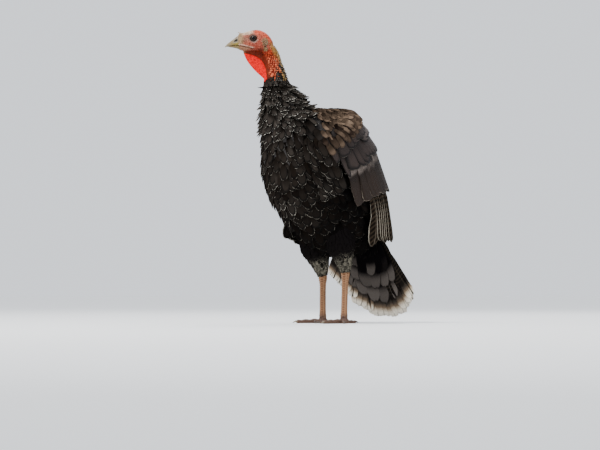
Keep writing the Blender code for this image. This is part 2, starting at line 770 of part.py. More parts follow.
def make_toe(side, toe):
    centre, along, across = toe_frame(side, toe)
    angle, length, radius, scutes = TOES[toe]
    start = TOE_START + GAP
    stations = []
    for i in range(scutes):
        stations.append(((i + 0.04) / scutes, 0.0))
        stations.append(((i + 0.88) / scutes, SCUTE_STEP * 0.7))
    stations.append((1.0, -radius * 0.12))
    rings = []
    for share, raised in stations:
        pads = 1.0 + 0.07 * math.cos(2 * math.pi * 3 * share)
        size = radius * (1.06 - 0.26 * share) * pads
        rise = size * 0.86
        place = centre + along * (start + (length - start + TOE_START) * share) + UP * rise
        rings.append(floor_ring(place, across, size, TOE_SIDES, raised))
    return ring_tube("toe_" + toe + "_" + side, rings, "scaly_skin")


def make_claw(side, toe):
    centre, along, across = toe_frame(side, toe)
    angle, length, radius, scutes = TOES[toe]
    start = centre + along * (TOE_START + length + 2 * GAP) + UP * (radius * 0.72)
    rings = []
    for i in range(5):
        t = i / 4
        size = CLAW_RADIUS * (1.0 - 0.80 * t) * (0.82 if i == 0 else 1.0)
        place = start + along * (CLAW_LENGTH * t) + UP * (0.0009 * math.sin(math.pi * t) - (radius * 0.72 - 0.0011) * t * t)
        rings.append(oval(place, across, UP, size * 0.85, size, 6))
    return ring_tube("claw_" + toe + "_" + side, rings, "claw_horn")


def make_foot(side):
    """The pad under the shank, with a short root for each toe."""
    centre = toe_frame(side, "middle")[0]
    pad = make_ball("foot_" + side, centre + UP * FOOT_HEIGHT * 0.72, 1.0, 14, 10, "scaly_skin")
    for vertex in pad.data.vertices:
        local = vertex.co - centre - UP * FOOT_HEIGHT * 0.72
        vertex.co = centre + Vector((local.x * FOOT_RADIUS, local.y * FOOT_RADIUS,
                                     max(0.0, FOOT_HEIGHT * 0.72 + local.z * FOOT_HEIGHT)))
    roots = []
    for toe in TOES:
        start, along, across = toe_frame(side, toe)
        radius = TOES[toe][2]
        size = radius * 1.06 * 1.07
        rings = []
        for reach in (0.0, TOE_START * 0.55, TOE_START):
            rings.append(floor_ring(start + along * reach + UP * size * 0.86, across, size, TOE_SIDES))
        roots.append(ring_tube("root", rings, "scaly_skin"))
    return fuse(pad, roots)


def make_vane(place, half_width, height, tilt, widths=VANE_WIDTHS):
    """One feather's vane. place(share, across, height) gives a point of the surface that it lies over."""
    points = []
    faces = []
    columns = (-1.0, 0.0, 1.0)
    for share, width in zip(VANE_STATIONS, widths):
        reach = half_width * width
        for column in columns:
            level = height + tilt * column * reach
            points.append(place(share, column * reach, level))
        for column in reversed(columns):
            level = height + tilt * column * reach - VANE_THICK
            points.append(place(share, column * reach, level))
    # A ring holds three points on the upper face and, in the other direction, three below them
    for i in range(len(VANE_STATIONS) - 1):
        a = i * 6
        b = a + 6
        for j in (0, 1):
            faces += [(a + j, a + j + 1, b + j + 1), (a + j, b + j + 1, b + j)]
            k, m = 5 - j, 4 - j
            faces += [(a + k, b + m, a + m), (a + k, b + k, b + m)]
        faces += [(a + 2, a + 3, b + 3), (a + 2, b + 3, b + 2)]
        faces += [(a + 5, a, b), (a + 5, b, b + 5)]
    for a, flip in ((0, False), ((len(VANE_STATIONS) - 1) * 6, True)):
        for face in ((a, a + 5, a + 4), (a, a + 4, a + 1), (a + 1, a + 4, a + 3), (a + 1, a + 3, a + 2)):
            faces.append(tuple(reversed(face)) if flip else face)
    return mesh_object("vane", points, faces, "wing_feathers")


def wing_place(side, down, angle, height):
    """A point over the wing's tube: distance down its axis, angle from the back, and height."""
    sign = 1 if side == "left" else -1
    slope = math.radians(WING_SLOPE)
    axis = Vector((0.0, math.cos(slope), -math.sin(slope)))
    upward = Vector((0.0, math.sin(slope), math.cos(slope)))
    across = steady_read(WING_SPANS, WING_ACROSS, down) + height
    rise = steady_read(WING_SPANS, WING_UPWARD, down) + height
    turn = math.radians(angle)
    sideways = full_curve(math.sin(turn), WING_SQUARE) * across * sign
    point = Vector(WING_START) + axis * down + X_AXIS * sideways + upward * (
        full_curve(math.cos(turn), WING_SQUARE) * rise)
    droop = Matrix.Rotation(math.radians(-WING_DROOP[side]), 3, "X")
    pivot = Vector(WING_PIVOT)
    return pivot + droop @ (point - pivot)


def between(pair, share):
    return pair[0] + (pair[1] - pair[0]) * share


def make_wing(side):
    rings = []
    for down, height, upper, lower in zip(ARM_SPANS, ARM_HEIGHTS, ARM_UPPER, ARM_LOWER):
        outer = []
        inner = []
        for i in range(ARM_ACROSS):
            share = i / (ARM_ACROSS - 1)
            angle = upper + (lower - upper) * share
            crown = math.sin(math.pi * (0.14 + 0.72 * share))
            outer.append(wing_place(side, down, angle, height * crown))
            inner.append(wing_place(side, down, angle, ARM_INNER))
        rings.append(outer + list(reversed(inner)))
    wing = ring_tube("wing_" + side, rings, "wing_feathers")
    vanes = []
    for name, tier in WING_TIERS.items():
        count, roots, tips, root_angles, tip_angles, half_width, height, rise, tilt = tier
        if name == "primary" and WING_DROOP[side] > 0:
            tips, tip_angles = DROOPED_TIPS, DROOPED_TIP_ANGLES
        for i in range(count):
            share = i / (count - 1)
            root = between(roots, share)
            tip = between(tips, share)
            root_angle = between(root_angles, share)
            tip_angle = between(tip_angles, share)

            def place(along, across, level, root=root, tip=tip, first=root_angle, last=tip_angle):
                down = root + (tip - root) * along
                radius = steady_read(WING_SPANS, WING_ACROSS, down)
                angle = first + (last - first) * along + math.degrees(across / radius)
                return wing_place(side, down, angle, level)

            vanes.append(make_vane(place, half_width, height + rise * i, tilt))
    fuse(wing, vanes)
    return wing


def tail_place(spread, distance, across, height):
    """A point of the tail's fan: angle from its middle, distance from its apex, offset across, height to the back."""
    slope = math.radians(TAIL_SLOPE)
    down = Vector((0.0, math.cos(slope), -math.sin(slope)))
    normal = Vector((0.0, math.sin(slope), math.cos(slope)))
    turn = math.radians(spread)
    along = down * math.cos(turn) + X_AXIS * math.sin(turn)
    sideways = X_AXIS * math.cos(turn) - down * math.sin(turn)
    point = Vector(TAIL_APEX) + along * distance + sideways * across
    return point + normal * (height - TAIL_ARCH * point.x * point.x)


def make_tail():
    slope = math.radians(TAIL_SLOPE)
    normal = Vector((0.0, math.sin(slope), math.cos(slope)))
    rings = []
    for distance, half_width, to_back, to_front in TAIL_CORE:
        middle = (to_back - to_front) / 2
        centre = tail_place(0.0, distance, 0.0, middle)
        rings.append(oval(centre, X_AXIS, normal, half_width, (to_back + to_front) / 2, TAIL_CORE_SIDES))
    tail = ring_tube("tail", rings, "tail_feathers")
    vanes = []
    for name, tier in TAIL_TIERS.items():
        count, spread, root, share, half_width, height, step, tilt = tier
        middle = (spread[0] + spread[1]) / 2
        for i in range(count):
            angle = between(spread, i / (count - 1))
            length = steady_read(FAN_ANGLES, FAN_LENGTHS, angle) * share
            steps = abs(i - (count - 1) / 2)
            side = (angle > middle + 0.1) - (angle < middle - 0.1)

            def place(along, across, level, angle=angle, length=length):
                return tail_place(angle, root + (length - root) * along, across, level)

            vanes.append(make_vane(place, half_width, height + step * steps, tilt * side))
    fuse(tail, vanes)
    return tail


def make_bird():
    torso, neck = make_torso_and_neck()
    head = make_head()
    bare_neck = make_bare_neck()
    cut_clear(bare_neck, neck)
    fuse(bare_neck, make_throat_caruncles())
    cut_clear(bare_neck, neck)
    cut_clear(bare_neck, head)
    upper, lower = make_bill()
    for bill in (upper, lower):
        cut_clear(bill, head)
    snood = make_snood()
    cut_clear(snood, head)
    cut_clear(snood, upper)
    dewlap = make_dewlap()
    for neighbour in (head, bare_neck, neck, lower):
        cut_clear(dewlap, neighbour)
    for side, sign in (("left", 1), ("right", -1)):
        make_ball("eye_" + side, eye_centre(sign), EYE_RADIUS, 14, 9, "eye")
        thigh = make_thigh(side)
        cut_clear(thigh, torso)
        foot = make_foot(side)
        shank = make_shank(side)
        cut_clear(shank, foot)
        cut_clear(shank, thigh)
        for toe in TOES:
            make_toe(side, toe)
            make_claw(side, toe)
        wing = make_wing(side)
        cut_clear(wing, torso)
    tail = make_tail()
    cut_clear(tail, torso)


def stand_on_origin():
    """Moves the whole bird so that the middle of its box is over the origin."""
    corners = [item.matrix_world @ vertex.co for item in bpy.data.objects if item.type == "MESH"
               for vertex in item.data.vertices]
    middle_x = (min(p.x for p in corners) + max(p.x for p in corners)) / 2
    middle_y = (min(p.y for p in corners) + max(p.y for p in corners)) / 2
    for item in bpy.data.objects:
        item.data.transform(Matrix.Translation((-middle_x, -middle_y, 0.0)))


clear_scene()
make_bird()
for name in FUSED:
    merge_flat_faces(bpy.data.objects[name])
stand_on_origin()
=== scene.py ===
"""A standing turkey hen: skin, feathers, head, legs, finishes, floor, light and camera."""
import math

import bmesh
import bpy
import numpy as np
from mathutils import Matrix, Vector


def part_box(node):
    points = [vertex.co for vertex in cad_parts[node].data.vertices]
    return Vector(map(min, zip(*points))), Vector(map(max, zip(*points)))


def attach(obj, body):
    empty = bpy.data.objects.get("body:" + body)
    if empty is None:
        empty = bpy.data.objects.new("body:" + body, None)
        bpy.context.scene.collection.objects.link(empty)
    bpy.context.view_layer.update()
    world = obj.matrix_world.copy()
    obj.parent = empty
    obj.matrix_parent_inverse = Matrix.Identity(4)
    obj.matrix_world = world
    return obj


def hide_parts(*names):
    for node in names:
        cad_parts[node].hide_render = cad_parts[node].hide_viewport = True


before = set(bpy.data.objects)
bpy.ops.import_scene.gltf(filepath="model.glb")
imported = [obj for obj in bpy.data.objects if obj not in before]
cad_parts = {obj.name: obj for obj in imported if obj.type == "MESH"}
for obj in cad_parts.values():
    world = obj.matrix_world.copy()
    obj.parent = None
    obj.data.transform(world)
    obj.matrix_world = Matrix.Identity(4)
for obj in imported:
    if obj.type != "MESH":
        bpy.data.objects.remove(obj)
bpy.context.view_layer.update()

X_AXIS = Vector((1.0, 0.0, 0.0))
UP = Vector((0.0, 0.0, 1.0))
TURN = 2 * math.pi
SIDES = ("left", "right")

# Trunk and feathered neck, from the rump to the throat: x, y, z, half width, half depth
TRUNK = (
    (0.000, 0.105, 0.192, 0.014, 0.016),
    (0.000, 0.089, 0.202, 0.043, 0.048),
    (0.000, 0.055, 0.225, 0.073, 0.083),
    (0.000, 0.012, 0.263, 0.095, 0.112),
    (0.000, -0.028, 0.316, 0.107, 0.125),
    (0.000, -0.067, 0.374, 0.110, 0.127),
    (0.000, -0.103, 0.424, 0.103, 0.108),
    (0.000, -0.133, 0.463, 0.088, 0.086),
    (0.000, -0.154, 0.497, 0.070, 0.067),
    (0.000, -0.168, 0.529, 0.053, 0.053),
    (-0.002, -0.1775, 0.558, 0.041, 0.043),
    (-0.004, -0.180, 0.580, 0.032, 0.035),
)
TRUNK_POWER = 0.94
TWIST_SHARE = 0.70

# Head
HEAD_TURN = 42.0
HEAD_CENTRE = (-0.030, -0.226, 0.6726)
HEAD_SIZE = 0.98
# Skull in the head's frame: forward, top, bottom, half width
SKULL = (
    (0.037, 0.0075, -0.0270, 0.0085),
    (0.029, 0.0110, -0.0300, 0.0115),
    (0.017, 0.0140, -0.0325, 0.0150),
    (0.003, 0.0178, -0.0335, 0.0180),
    (-0.012, 0.0185, -0.0345, 0.0192),
    (-0.027, 0.0130, -0.0350, 0.0180),
    (-0.038, 0.0030, -0.0345, 0.0145),
    (-0.045, -0.0080, -0.0300, 0.0090),
    (-0.047, -0.0150, -0.0220, 0.0035),
)
# How deep the solid's eye sits in the skull
EYE_SINK = 0.0030
EAR_PLACE = (-0.0285, -0.0125)
# Bill: forward, top, mouth line, bottom, half width
BILL = (
    (0.024, 0.0088, -0.0205, -0.0295, 0.0104),
    (0.030, 0.0068, -0.0200, -0.0285, 0.0100),
    (0.038, 0.0050, -0.0190, -0.0262, 0.0090),
    (0.047, -0.0020, -0.0188, -0.0240, 0.0074),
    (0.056, -0.0088, -0.0194, -0.0228, 0.0052),
    (0.063, -0.0140, -0.0208, -0.0222, 0.0031),
    (0.069, -0.0205, -0.0234, -0.0222, 0.0011),
)
LOWER_BILL_END = 0.0615
NOSTRIL_PLACE = (0.0425, -0.0072)
NOSTRIL_SLOPE = (0.82, 0.57)
MOUTH_LINE = ((0.040, -0.0192), (0.030, -0.0202), (0.018, -0.0228), (0.006, -0.0262), (-0.004, -0.0285))
EYE_PLACE = (0.0004, -0.0030)
BALL_RADIUS = 0.0088
BALL_SINK = 0.0042
BALL_BULGE = 0.0007
LID_OPENING = 0.0079
NECK_BEAD = 0.0026
THROAT_BEAD = 0.0040
CHEEK_BEAD = 0.0011
BEAD_HEIGHT = 0.0025
BEAD_ROW = 0.0046
BEAD_SPACING = 0.0050
CHEEK_GRID = 0.0026
EYE_HOLLOW = 0.0060
HEAD_VOXEL = 0.00078
# How much more vivid and how bright the painted flesh and horn are than their tables
FLESH_VIVID = 1.12
FLESH_SHADE = 0.66
HORN_SHADE = 0.60
EAR_SLIT = (-0.0290, -0.0215)
SNOOD_BASE = (0.0305, 0.0095)
SNOOD_LENGTH = 0.0125
SNOOD_RADIUS = 0.0032
# Bare upper neck: forward, height, half width, half depth
BARE_NECK = (
    (-0.0520, -0.1050, 0.0220, 0.0280),
    (-0.0500, -0.0850, 0.0200, 0.0250),
    (-0.0455, -0.0620, 0.0178, 0.0212),
    (-0.0400, -0.0400, 0.0163, 0.0200),
    (-0.0310, -0.0180, 0.0152, 0.0182),
)
BARE_NECK_DROP = 0.09
DEWLAP_ROOT = ((0.022, -0.024), (0.006, -0.025), (-0.014, -0.029), (-0.031, -0.044),
               (-0.036, -0.066), (-0.038, -0.086), (-0.039, -0.098))
DEWLAP_EDGE = ((0.026, -0.031), (0.0215, -0.045), (0.0135, -0.0595), (0.0030, -0.0725),
               (-0.0070, -0.0830), (-0.0175, -0.0925), (-0.0255, -0.1000))

# Upper edge of the throat's bright red, over which the throat is painted in shadow: forward, height
RED_EDGE = ((-0.0330, -0.1050), (-0.0290, -0.0765), (-0.0240, -0.0618), (-0.0160, -0.0520),
            (-0.0057, -0.0450), (0.0065, -0.0412), (0.0212, -0.0375), (0.0286, -0.0350), (0.0400, -0.0330))

# Legs
LEG_POINTS = {
    "left": {"top": (0.045, -0.036, 0.240), "thigh": (0.051, -0.023, 0.190), "calf": (0.049, -0.011, 0.153),
             "hock": (0.047, -0.003, 0.1235), "foot": (0.057, -0.017, 0.012), "heading": 9.0},
    "right": {"top": (-0.043, -0.028, 0.236), "thigh": (-0.047, -0.015, 0.185),
              "calf": (-0.044, -0.002, 0.145), "hock": (-0.040, 0.004, 0.1130),
              "foot": (-0.034, -0.002, 0.012), "heading": -6.0},
}
THIGH_RADII = (0.036, 0.037, 0.0240, 0.0128)
SHANK_HALF_WIDTH = 0.0066
SHANK_HALF_DEPTH = 0.0078
HOCK_SWELL = 0.40
ANKLE_SWELL = 0.22
# Toes: angle from the heading, length, radius, number of plates
TOES = {
    "inner": (-36.0, 0.043, 0.0047, 9),
    "middle": (0.0, 0.060, 0.0052, 13),
    "outer": (38.0, 0.045, 0.0046, 9),
    "hind": (172.0, 0.021, 0.0042, 4),
}
TOE_START = 0.0165
FOOT_RADIUS = 0.0115
FOOT_HEIGHT = 0.0085
CLAW_LENGTH = 0.0125
CLAW_RADIUS = 0.0027

# Wing: a tube round a slanting axis. Radii across and up, by distance down the axis
WING_START = (0.0, -0.130, 0.467)
WING_SLOPE = 56.0
WING_SPANS = (-0.035, 0.000, 0.050, 0.140, 0.260, 0.380)
WING_ACROSS = (0.060, 0.085, 0.110, 0.118, 0.106, 0.078)
WING_UPWARD = (0.034, 0.066, 0.120, 0.134, 0.123, 0.100)
WING_SQUARE = 0.62
WING_PIVOT = (0.0, -0.105, 0.440)
WING_DROOP = {"left": 0.0, "right": 19.0}

# Tail: a fan that hangs from the rump
TAIL_APEX = (0.0, 0.094, 0.262)
TAIL_SLOPE = 74.0
TAIL_ARCH = 0.55
FAN_ANGLES = (-48.0, -30.0, -17.0, -3.0, 8.0, 20.0, 29.0, 36.0)
FAN_LENGTHS = (0.200, 0.219, 0.242, 0.261, 0.265, 0.263, 0.256, 0.240)

# Camera
VIEW_AZIMUTH = 48.0
VIEW_DISTANCE = 6.0
VIEW_LENS = 150.0
VIEW_HEIGHT = 0.08
VIEW_AIM = (-0.079, 0.2355)


def smooth_row(table, share):
    """A row of numbers read from a table at a share of its length, on a smooth curve through its rows."""
    last = len(table) - 1
    place = min(max(share, 0.0), 1.0) * last
    index = min(int(place), last - 1)
    t = place - index
    before = table[max(index - 1, 0)]
    start = table[index]
    end = table[index + 1]
    after = table[min(index + 2, last)]
    row = []
    for a, b, c, d in zip(before, start, end, after):
        row.append(0.5 * (2 * b + (c - a) * t + (2 * a - 5 * b + 4 * c - d) * t * t
                          + (3 * b - a - 3 * c + d) * t * t * t))
    return row


def full_curve(value, power):
    """A sine or cosine changed so that the oval it draws has fuller corners."""
    return math.copysign(abs(value) ** power, value)


def head_axes():
    turn = math.radians(HEAD_TURN)
    forward = Vector((-math.sin(turn), -math.cos(turn), 0.0))
    left = Vector((math.cos(turn), -math.sin(turn), 0.0))
    return forward, left


FORWARD, LEFT = head_axes()


def head_point(f, s, z):
    """A point in the head's own frame."""
    return Vector(HEAD_CENTRE) + (FORWARD * f + LEFT * s + UP * z) * HEAD_SIZE


def skull_width(f, z):
    """Half width of the skull at a place in its profile."""
    rows = sorted(SKULL)
    keys = [row[0] for row in rows]
    top = np.interp(f, keys, [row[1] for row in rows])
    bottom = np.interp(f, keys, [row[2] for row in rows])
    width = np.interp(f, keys, [row[3] for row in rows])
    middle, half = (top + bottom) / 2, (top - bottom) / 2
    rise = min(abs((z - middle) / half), 0.99)
    return float(width * math.sqrt(1 - rise * rise))


def eye_centre(side):
    f, z = EYE_PLACE
    return head_point(f, side * (skull_width(f, z) - BALL_SINK), z)


def model_offset():
    """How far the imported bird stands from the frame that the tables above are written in."""
    low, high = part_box("eye_left")
    move = (low + high) / 2 - head_point(0.0, skull_width(0.0, 0.0) - EYE_SINK, 0.0)
    move.z = 0.0
    return move


OFFSET = model_offset()


def trunk_point(share, angle):
    """A point of the trunk's surface. Angle 0 is its back and a quarter turn its left side."""
    x, y, z, half_width, half_depth = smooth_row(TRUNK, share)
    ahead = Vector(smooth_row(TRUNK, share + 0.01)[:3])
    behind = Vector(smooth_row(TRUNK, share - 0.01)[:3])
    along = (ahead - behind).normalized()
    turn = max(0.0, (share - TWIST_SHARE) / (1.0 - TWIST_SHARE))
    yaw = math.radians(HEAD_TURN) * turn * turn * (3 - 2 * turn)
    left = Vector((math.cos(yaw), -math.sin(yaw), 0.0))
    left = (left - along * left.dot(along)).normalized()
    back = left.cross(along).normalized()
    if back.y < 0:
        back = -back
    c, s = full_curve(math.cos(angle), TRUNK_POWER), full_curve(math.sin(angle), TRUNK_POWER)
    return Vector((x, y, z)) + left * (half_width * s) + back * (half_depth * c)


def wing_point(side, down, angle, height=0.0):
    """A point over the wing's tube: distance down its axis, angle in degrees from the back, and height."""
    sign = 1 if side == "left" else -1
    slope = math.radians(WING_SLOPE)
    axis = Vector((0.0, math.cos(slope), -math.sin(slope)))
    upward = Vector((0.0, math.sin(slope), math.cos(slope)))
    across = float(np.interp(down, WING_SPANS, WING_ACROSS)) + height
    rise = float(np.interp(down, WING_SPANS, WING_UPWARD)) + height
    turn = math.radians(angle)
    sideways = full_curve(math.sin(turn), WING_SQUARE) * across * sign
    point = Vector(WING_START) + axis * down + X_AXIS * sideways + upward * (
        full_curve(math.cos(turn), WING_SQUARE) * rise)
    droop = Matrix.Rotation(math.radians(-WING_DROOP[side]), 3, "X")
    pivot = Vector(WING_PIVOT)
    return pivot + droop @ (point - pivot)


def tail_point(spread, distance, across=0.0, height=0.0):
    """A point of the tail's fan: degrees from its middle, distance from its apex, offset across, height."""
    slope = math.radians(TAIL_SLOPE)
    down = Vector((0.0, math.cos(slope), -math.sin(slope)))
    normal = Vector((0.0, math.sin(slope), math.cos(slope)))
    turn = math.radians(spread)
    along = down * math.cos(turn) + X_AXIS * math.sin(turn)
    sideways = X_AXIS * math.cos(turn) - down * math.sin(turn)
    point = Vector(TAIL_APEX) + along * distance + sideways * across
    return point + normal * (height - TAIL_ARCH * point.x * point.x)


def limb_frame(path, share):
    """A place on a limb's middle line, with the directions across it and to its front."""
    centre = Vector(smooth_row(path, share))
    along = Vector(smooth_row(path, share + 0.02)) - Vector(smooth_row(path, share - 0.02))
    return centre, *cross_frame(along.normalized())


def cross_frame(along):
    """The directions across a limb and to its front."""
    across = (X_AXIS - along * X_AXIS.dot(along)).normalized()
    front = along.cross(across).normalized()
    return across, -front if front.y > 0 else front


def thigh_point(side, share, angle, height=0.0):
    """A point over the drumstick: share of the way down, angle from its front, and height."""
    leg = LEG_POINTS[side]
    centre, across, front = limb_frame((leg["top"], leg["thigh"], leg["calf"], leg["hock"]), share)
    radius = smooth_row([(r,) for r in THIGH_RADII], share)[0] + height
    return centre + across * (math.sin(angle) * radius) + front * (math.cos(angle) * radius)


# Meshes

def new_object(name, mesh):
    item = bpy.data.objects.new(name, mesh)
    bpy.context.scene.collection.objects.link(item)
    return item


def only(item):
    """Selects one object, and nothing else."""
    bpy.ops.object.select_all(action="DESELECT")
    bpy.context.view_layer.objects.active = item
    item.select_set(True)


def shade_smooth(item):
    only(item)
    bpy.ops.object.shade_smooth()


def closed_mesh(name, points, faces):
    """A mesh whose faces all look outwards."""
    mesh = bpy.data.meshes.new(name)
    mesh.from_pydata(points, [], faces)
    shape = bmesh.new()
    shape.from_mesh(mesh)
    bmesh.ops.recalc_face_normals(shape, faces=shape.faces)
    shape.to_mesh(mesh)
    shape.free()
    return mesh


def ring_solid(name, rings):
    """A closed tube through rings of points, in the model's place."""
    count = len(rings[0])
    points = [tuple(point + OFFSET) for ring in rings for point in ring]
    faces = []
    for i in range(len(rings) - 1):
        for j in range(count):
            a, b = i * count + j, i * count + (j + 1) % count
            faces.append((a, b, b + count, a + count))
    faces.append(tuple(reversed(range(count))))
    faces.append(tuple(range((len(rings) - 1) * count, len(rings) * count)))
    return new_object(name, closed_mesh(name, points, faces))


def round_angles(count):
    return [TURN * i / count for i in range(count)]


def oval(centre, across, upward, half_across, half_up, sides, power=1.0):
    points = []
    for angle in round_angles(sides):
        c, s = full_curve(math.cos(angle), power), full_curve(math.sin(angle), power)
        points.append(centre + across * (half_across * s) + upward * (half_up * c))
    return points


def join(items, name):
    bpy.ops.object.select_all(action="DESELECT")
    for item in items:
        item.select_set(True)
    bpy.context.view_layer.objects.active = items[0]
    if len(items) > 1:
        bpy.ops.object.join()
    items[0].name = name
    return items[0]


def melt_together(item, voxel, smoothing):
    """Makes one smooth closed surface of a joined object."""
    remesh = item.modifiers.new("remesh", "REMESH")
    remesh.mode = "VOXEL"
    remesh.voxel_size = voxel
    smooth = item.modifiers.new("smooth", "SMOOTH")
    smooth.factor = 0.5
    smooth.iterations = smoothing
    only(item)
    for modifier in list(item.modifiers):
        bpy.ops.object.modifier_apply(modifier=modifier.name)
    return item


def read_vectors(mesh, key="co"):
    """The places or the normals of a mesh's vertices."""
    values = np.empty(len(mesh.vertices) * 3, np.float64)
    mesh.vertices.foreach_get(key, values)
    return values.reshape(-1, 3)


def write_points(mesh, points):
    mesh.vertices.foreach_set("co", points.astype(np.float32).ravel())
    mesh.update()


def paint(mesh, name, colours):
    """Writes one colour for each vertex."""
    layer = mesh.color_attributes.new(name=name, type="FLOAT_COLOR", domain="POINT")
    data = np.ones((len(mesh.vertices), 4), np.float32)
    data[:, :colours.shape[1]] = colours
    layer.data.foreach_set("color", data.ravel())


def lerp(base, colour, amount):
    """Moves rows of colours towards one colour, by an amount for each row."""
    return base + (np.array(colour)[None] - base) * np.clip(amount, 0, 1)[:, None]


def plain_colours(colour, count):
    return np.tile(np.array(colour), (count, 1))


def layered(colours, layers):
    """Lays colours over each other: each layer is a colour and its amount for each row."""
    for colour, amount in layers:
        colours = lerp(colours, colour, amount)
    return colours


def smooth_step(low, high, value):
    t = np.clip((value - low) / (high - low), 0.0, 1.0)
    return t * t * (3 - 2 * t)


def bell(value, width):
    return np.exp(-(value / width) ** 2)


def table_value(place, table, column, key=0):
    """A column of a table read at a place in its key column, whose values fall from row to row."""
    return np.interp(-place, [-row[key] for row in table], [row[column] for row in table])


# Surfaces that feathers lie on, kept as grids of points

def make_surface(function, first, last, inside=None):
    """A grid of points and outward normals. first and last are (start, end, count).

    inside is a place within the surface. Without it the surface closes on itself round its own middle.
    """
    us = np.linspace(*first)
    vs = np.linspace(*last)
    points = np.array([[tuple(function(u, v)) for v in vs] for u in us])
    du = np.gradient(points, us, axis=0)
    dv = np.gradient(points, vs, axis=1)
    normals = np.cross(du, dv)
    normals /= np.maximum(np.linalg.norm(normals, axis=2, keepdims=True), 1e-12)
    closed = inside is None
    if closed:
        inside = points.mean(axis=1, keepdims=True)
    if np.mean(np.sum((points - inside) * normals, axis=2)) <= 0:
        normals = -normals
    return {"u": first, "v": last, "points": points, "normals": normals, "closed": closed,
            "u_step": np.linalg.norm(du, axis=2), "v_step": np.linalg.norm(dv, axis=2)}


def read_surface(surface, kind, u, v):
    """Values of a surface's grid between its points."""
    grid = surface[kind]
    u0, u1, nu = surface["u"]
    v0, v1, nv = surface["v"]
    a = np.clip((u - u0) / (u1 - u0) * (nu - 1), 0, nu - 1.001)
    b = (v - v0) / (v1 - v0) * (nv - 1)
    b = b % (nv - 1) if surface["closed"] else np.clip(b, 0, nv - 1.001)
    i, j = a.astype(int), b.astype(int)
    fa, fb = a - i, b - j
    if grid.ndim == 3:
        fa, fb = fa[..., None], fb[..., None]
    return (grid[i, j] * (1 - fa) * (1 - fb) + grid[i + 1, j] * fa * (1 - fb)
            + grid[i, j + 1] * (1 - fa) * fb + grid[i + 1, j + 1] * fa * fb)


def surface_step(surface, kind, u, v):
    """A grid's step at one place, in metres."""
    return float(read_surface(surface, kind, np.array([u]), np.array([v]))[0])


def wing_inside(side):
    place = np.array(tuple(wing_point(side, 0.15, 179.0)))
    place[0] = 0.0
    return place


TRUNK_SURFACE = make_surface(trunk_point, (0.0, 1.0, 241), (0.0, TURN, 193))
WING_SURFACE = {}
THIGH_SURFACE = {}
for wing_side in SIDES:
    WING_SURFACE[wing_side] = make_surface(lambda u, v, s=wing_side: wing_point(s, u, v), (-0.06, 0.44, 201),
                                           (-40.0, 128.0, 200), wing_inside(wing_side))
    THIGH_SURFACE[wing_side] = make_surface(lambda u, v, s=wing_side: thigh_point(s, u, v), (0.0, 1.0, 81),
                                            (0.0, TURN, 65))
TAIL_SURFACE = make_surface(lambda u, v: tail_point(v, u), (-0.06, 0.30, 121), (-75.0, 65.0, 141),
                            np.array((0.0, -0.3, 0.2)))


# Feathers

def feather_kind(stations, columns, tip, base):
    """A kind of vane: stations along its shaft, columns of points, and half widths of its outline.

    It widens from its base, and ends in a rounded tip.
    """
    t = np.asarray(stations)
    widening = base + (1 - base) * np.sin(np.clip(t / (tip * 0.9), 0, 1) * math.pi / 2)
    rounding = np.sqrt(np.clip(1 - (np.clip(t - tip, 0, None) / (1 - tip)) ** 2, 0.0, 1))
    return {"stations": t, "columns": columns, "outline": widening * rounding}


COAT_TIP = 0.60
NECK_TIP = 0.50
QUILL_TIP = 0.88
COVERT_TIP = 0.72
QUILL_STATIONS = (0.0, 0.08, 0.18, 0.30, 0.42, 0.54, 0.66, 0.76, 0.84, 0.90, 0.945, 0.975, 0.995)
COAT = feather_kind((0.0, 0.22, 0.44, 0.62, 0.76, 0.87, 0.94, 0.985), 7, COAT_TIP, 0.50)
NECK = feather_kind((0.0, 0.25, 0.50, 0.70, 0.85, 0.94, 0.99), 5, NECK_TIP, 0.45)
QUILL = feather_kind(QUILL_STATIONS, 9, QUILL_TIP, 0.55)
TAIL_QUILL = feather_kind(QUILL_STATIONS, 13, QUILL_TIP, 0.55)
COVERT = feather_kind((0.0, 0.15, 0.30, 0.45, 0.60, 0.73, 0.83, 0.90, 0.95, 0.99), 9, COVERT_TIP, 0.55)
VANE_THICKNESS = 0.00022
QUILL_THICKNESS = 0.0004
FRAY = 0.05
WAVES = 9.0
FEATHER_ROUGHNESS = 0.60
# Bake map: margin, span of the roots' places, and size of each feather's patch
MAP_MARGIN = 0.002
MAP_SPAN = 0.99
MAP_PATCH = 0.003


def each(lies, key, default=0.0):
    """One value for each feather, shaped to go with rows and columns of points."""
    count = len(lies["u"])
    return np.broadcast_to(np.asarray(lies.get(key, default), float), (count,)).reshape(count, 1, 1)


def vane_shape(lies, kind):
    """Shares of the length and half widths of all points, with frayed edges."""
    t, columns, count = kind["stations"], kind["columns"], len(lies["u"])
    draw = np.random.default_rng(lies["seed"])
    fray = each(lies, "ragged", FRAY)
    ragged = 1.0 - np.abs(draw.normal(0.0, 1.0, (count, len(t), columns))) * fray
    is_edge = np.zeros((len(t), columns), bool)
    is_edge[1:, 0] = is_edge[1:, -1] = True
    reach = np.broadcast_to(t[None, :, None], (count, len(t), columns)).copy()
    reach[:, -1, :] -= np.abs(draw.normal(0.0, 1.0, (count, columns))) * fray[:, 0, :] * 0.6
    half = kind["outline"][None, :, None] * np.linspace(-1, 1, columns)[None, None, :]
    return reach, half * np.where(is_edge[None], ragged, 1.0)


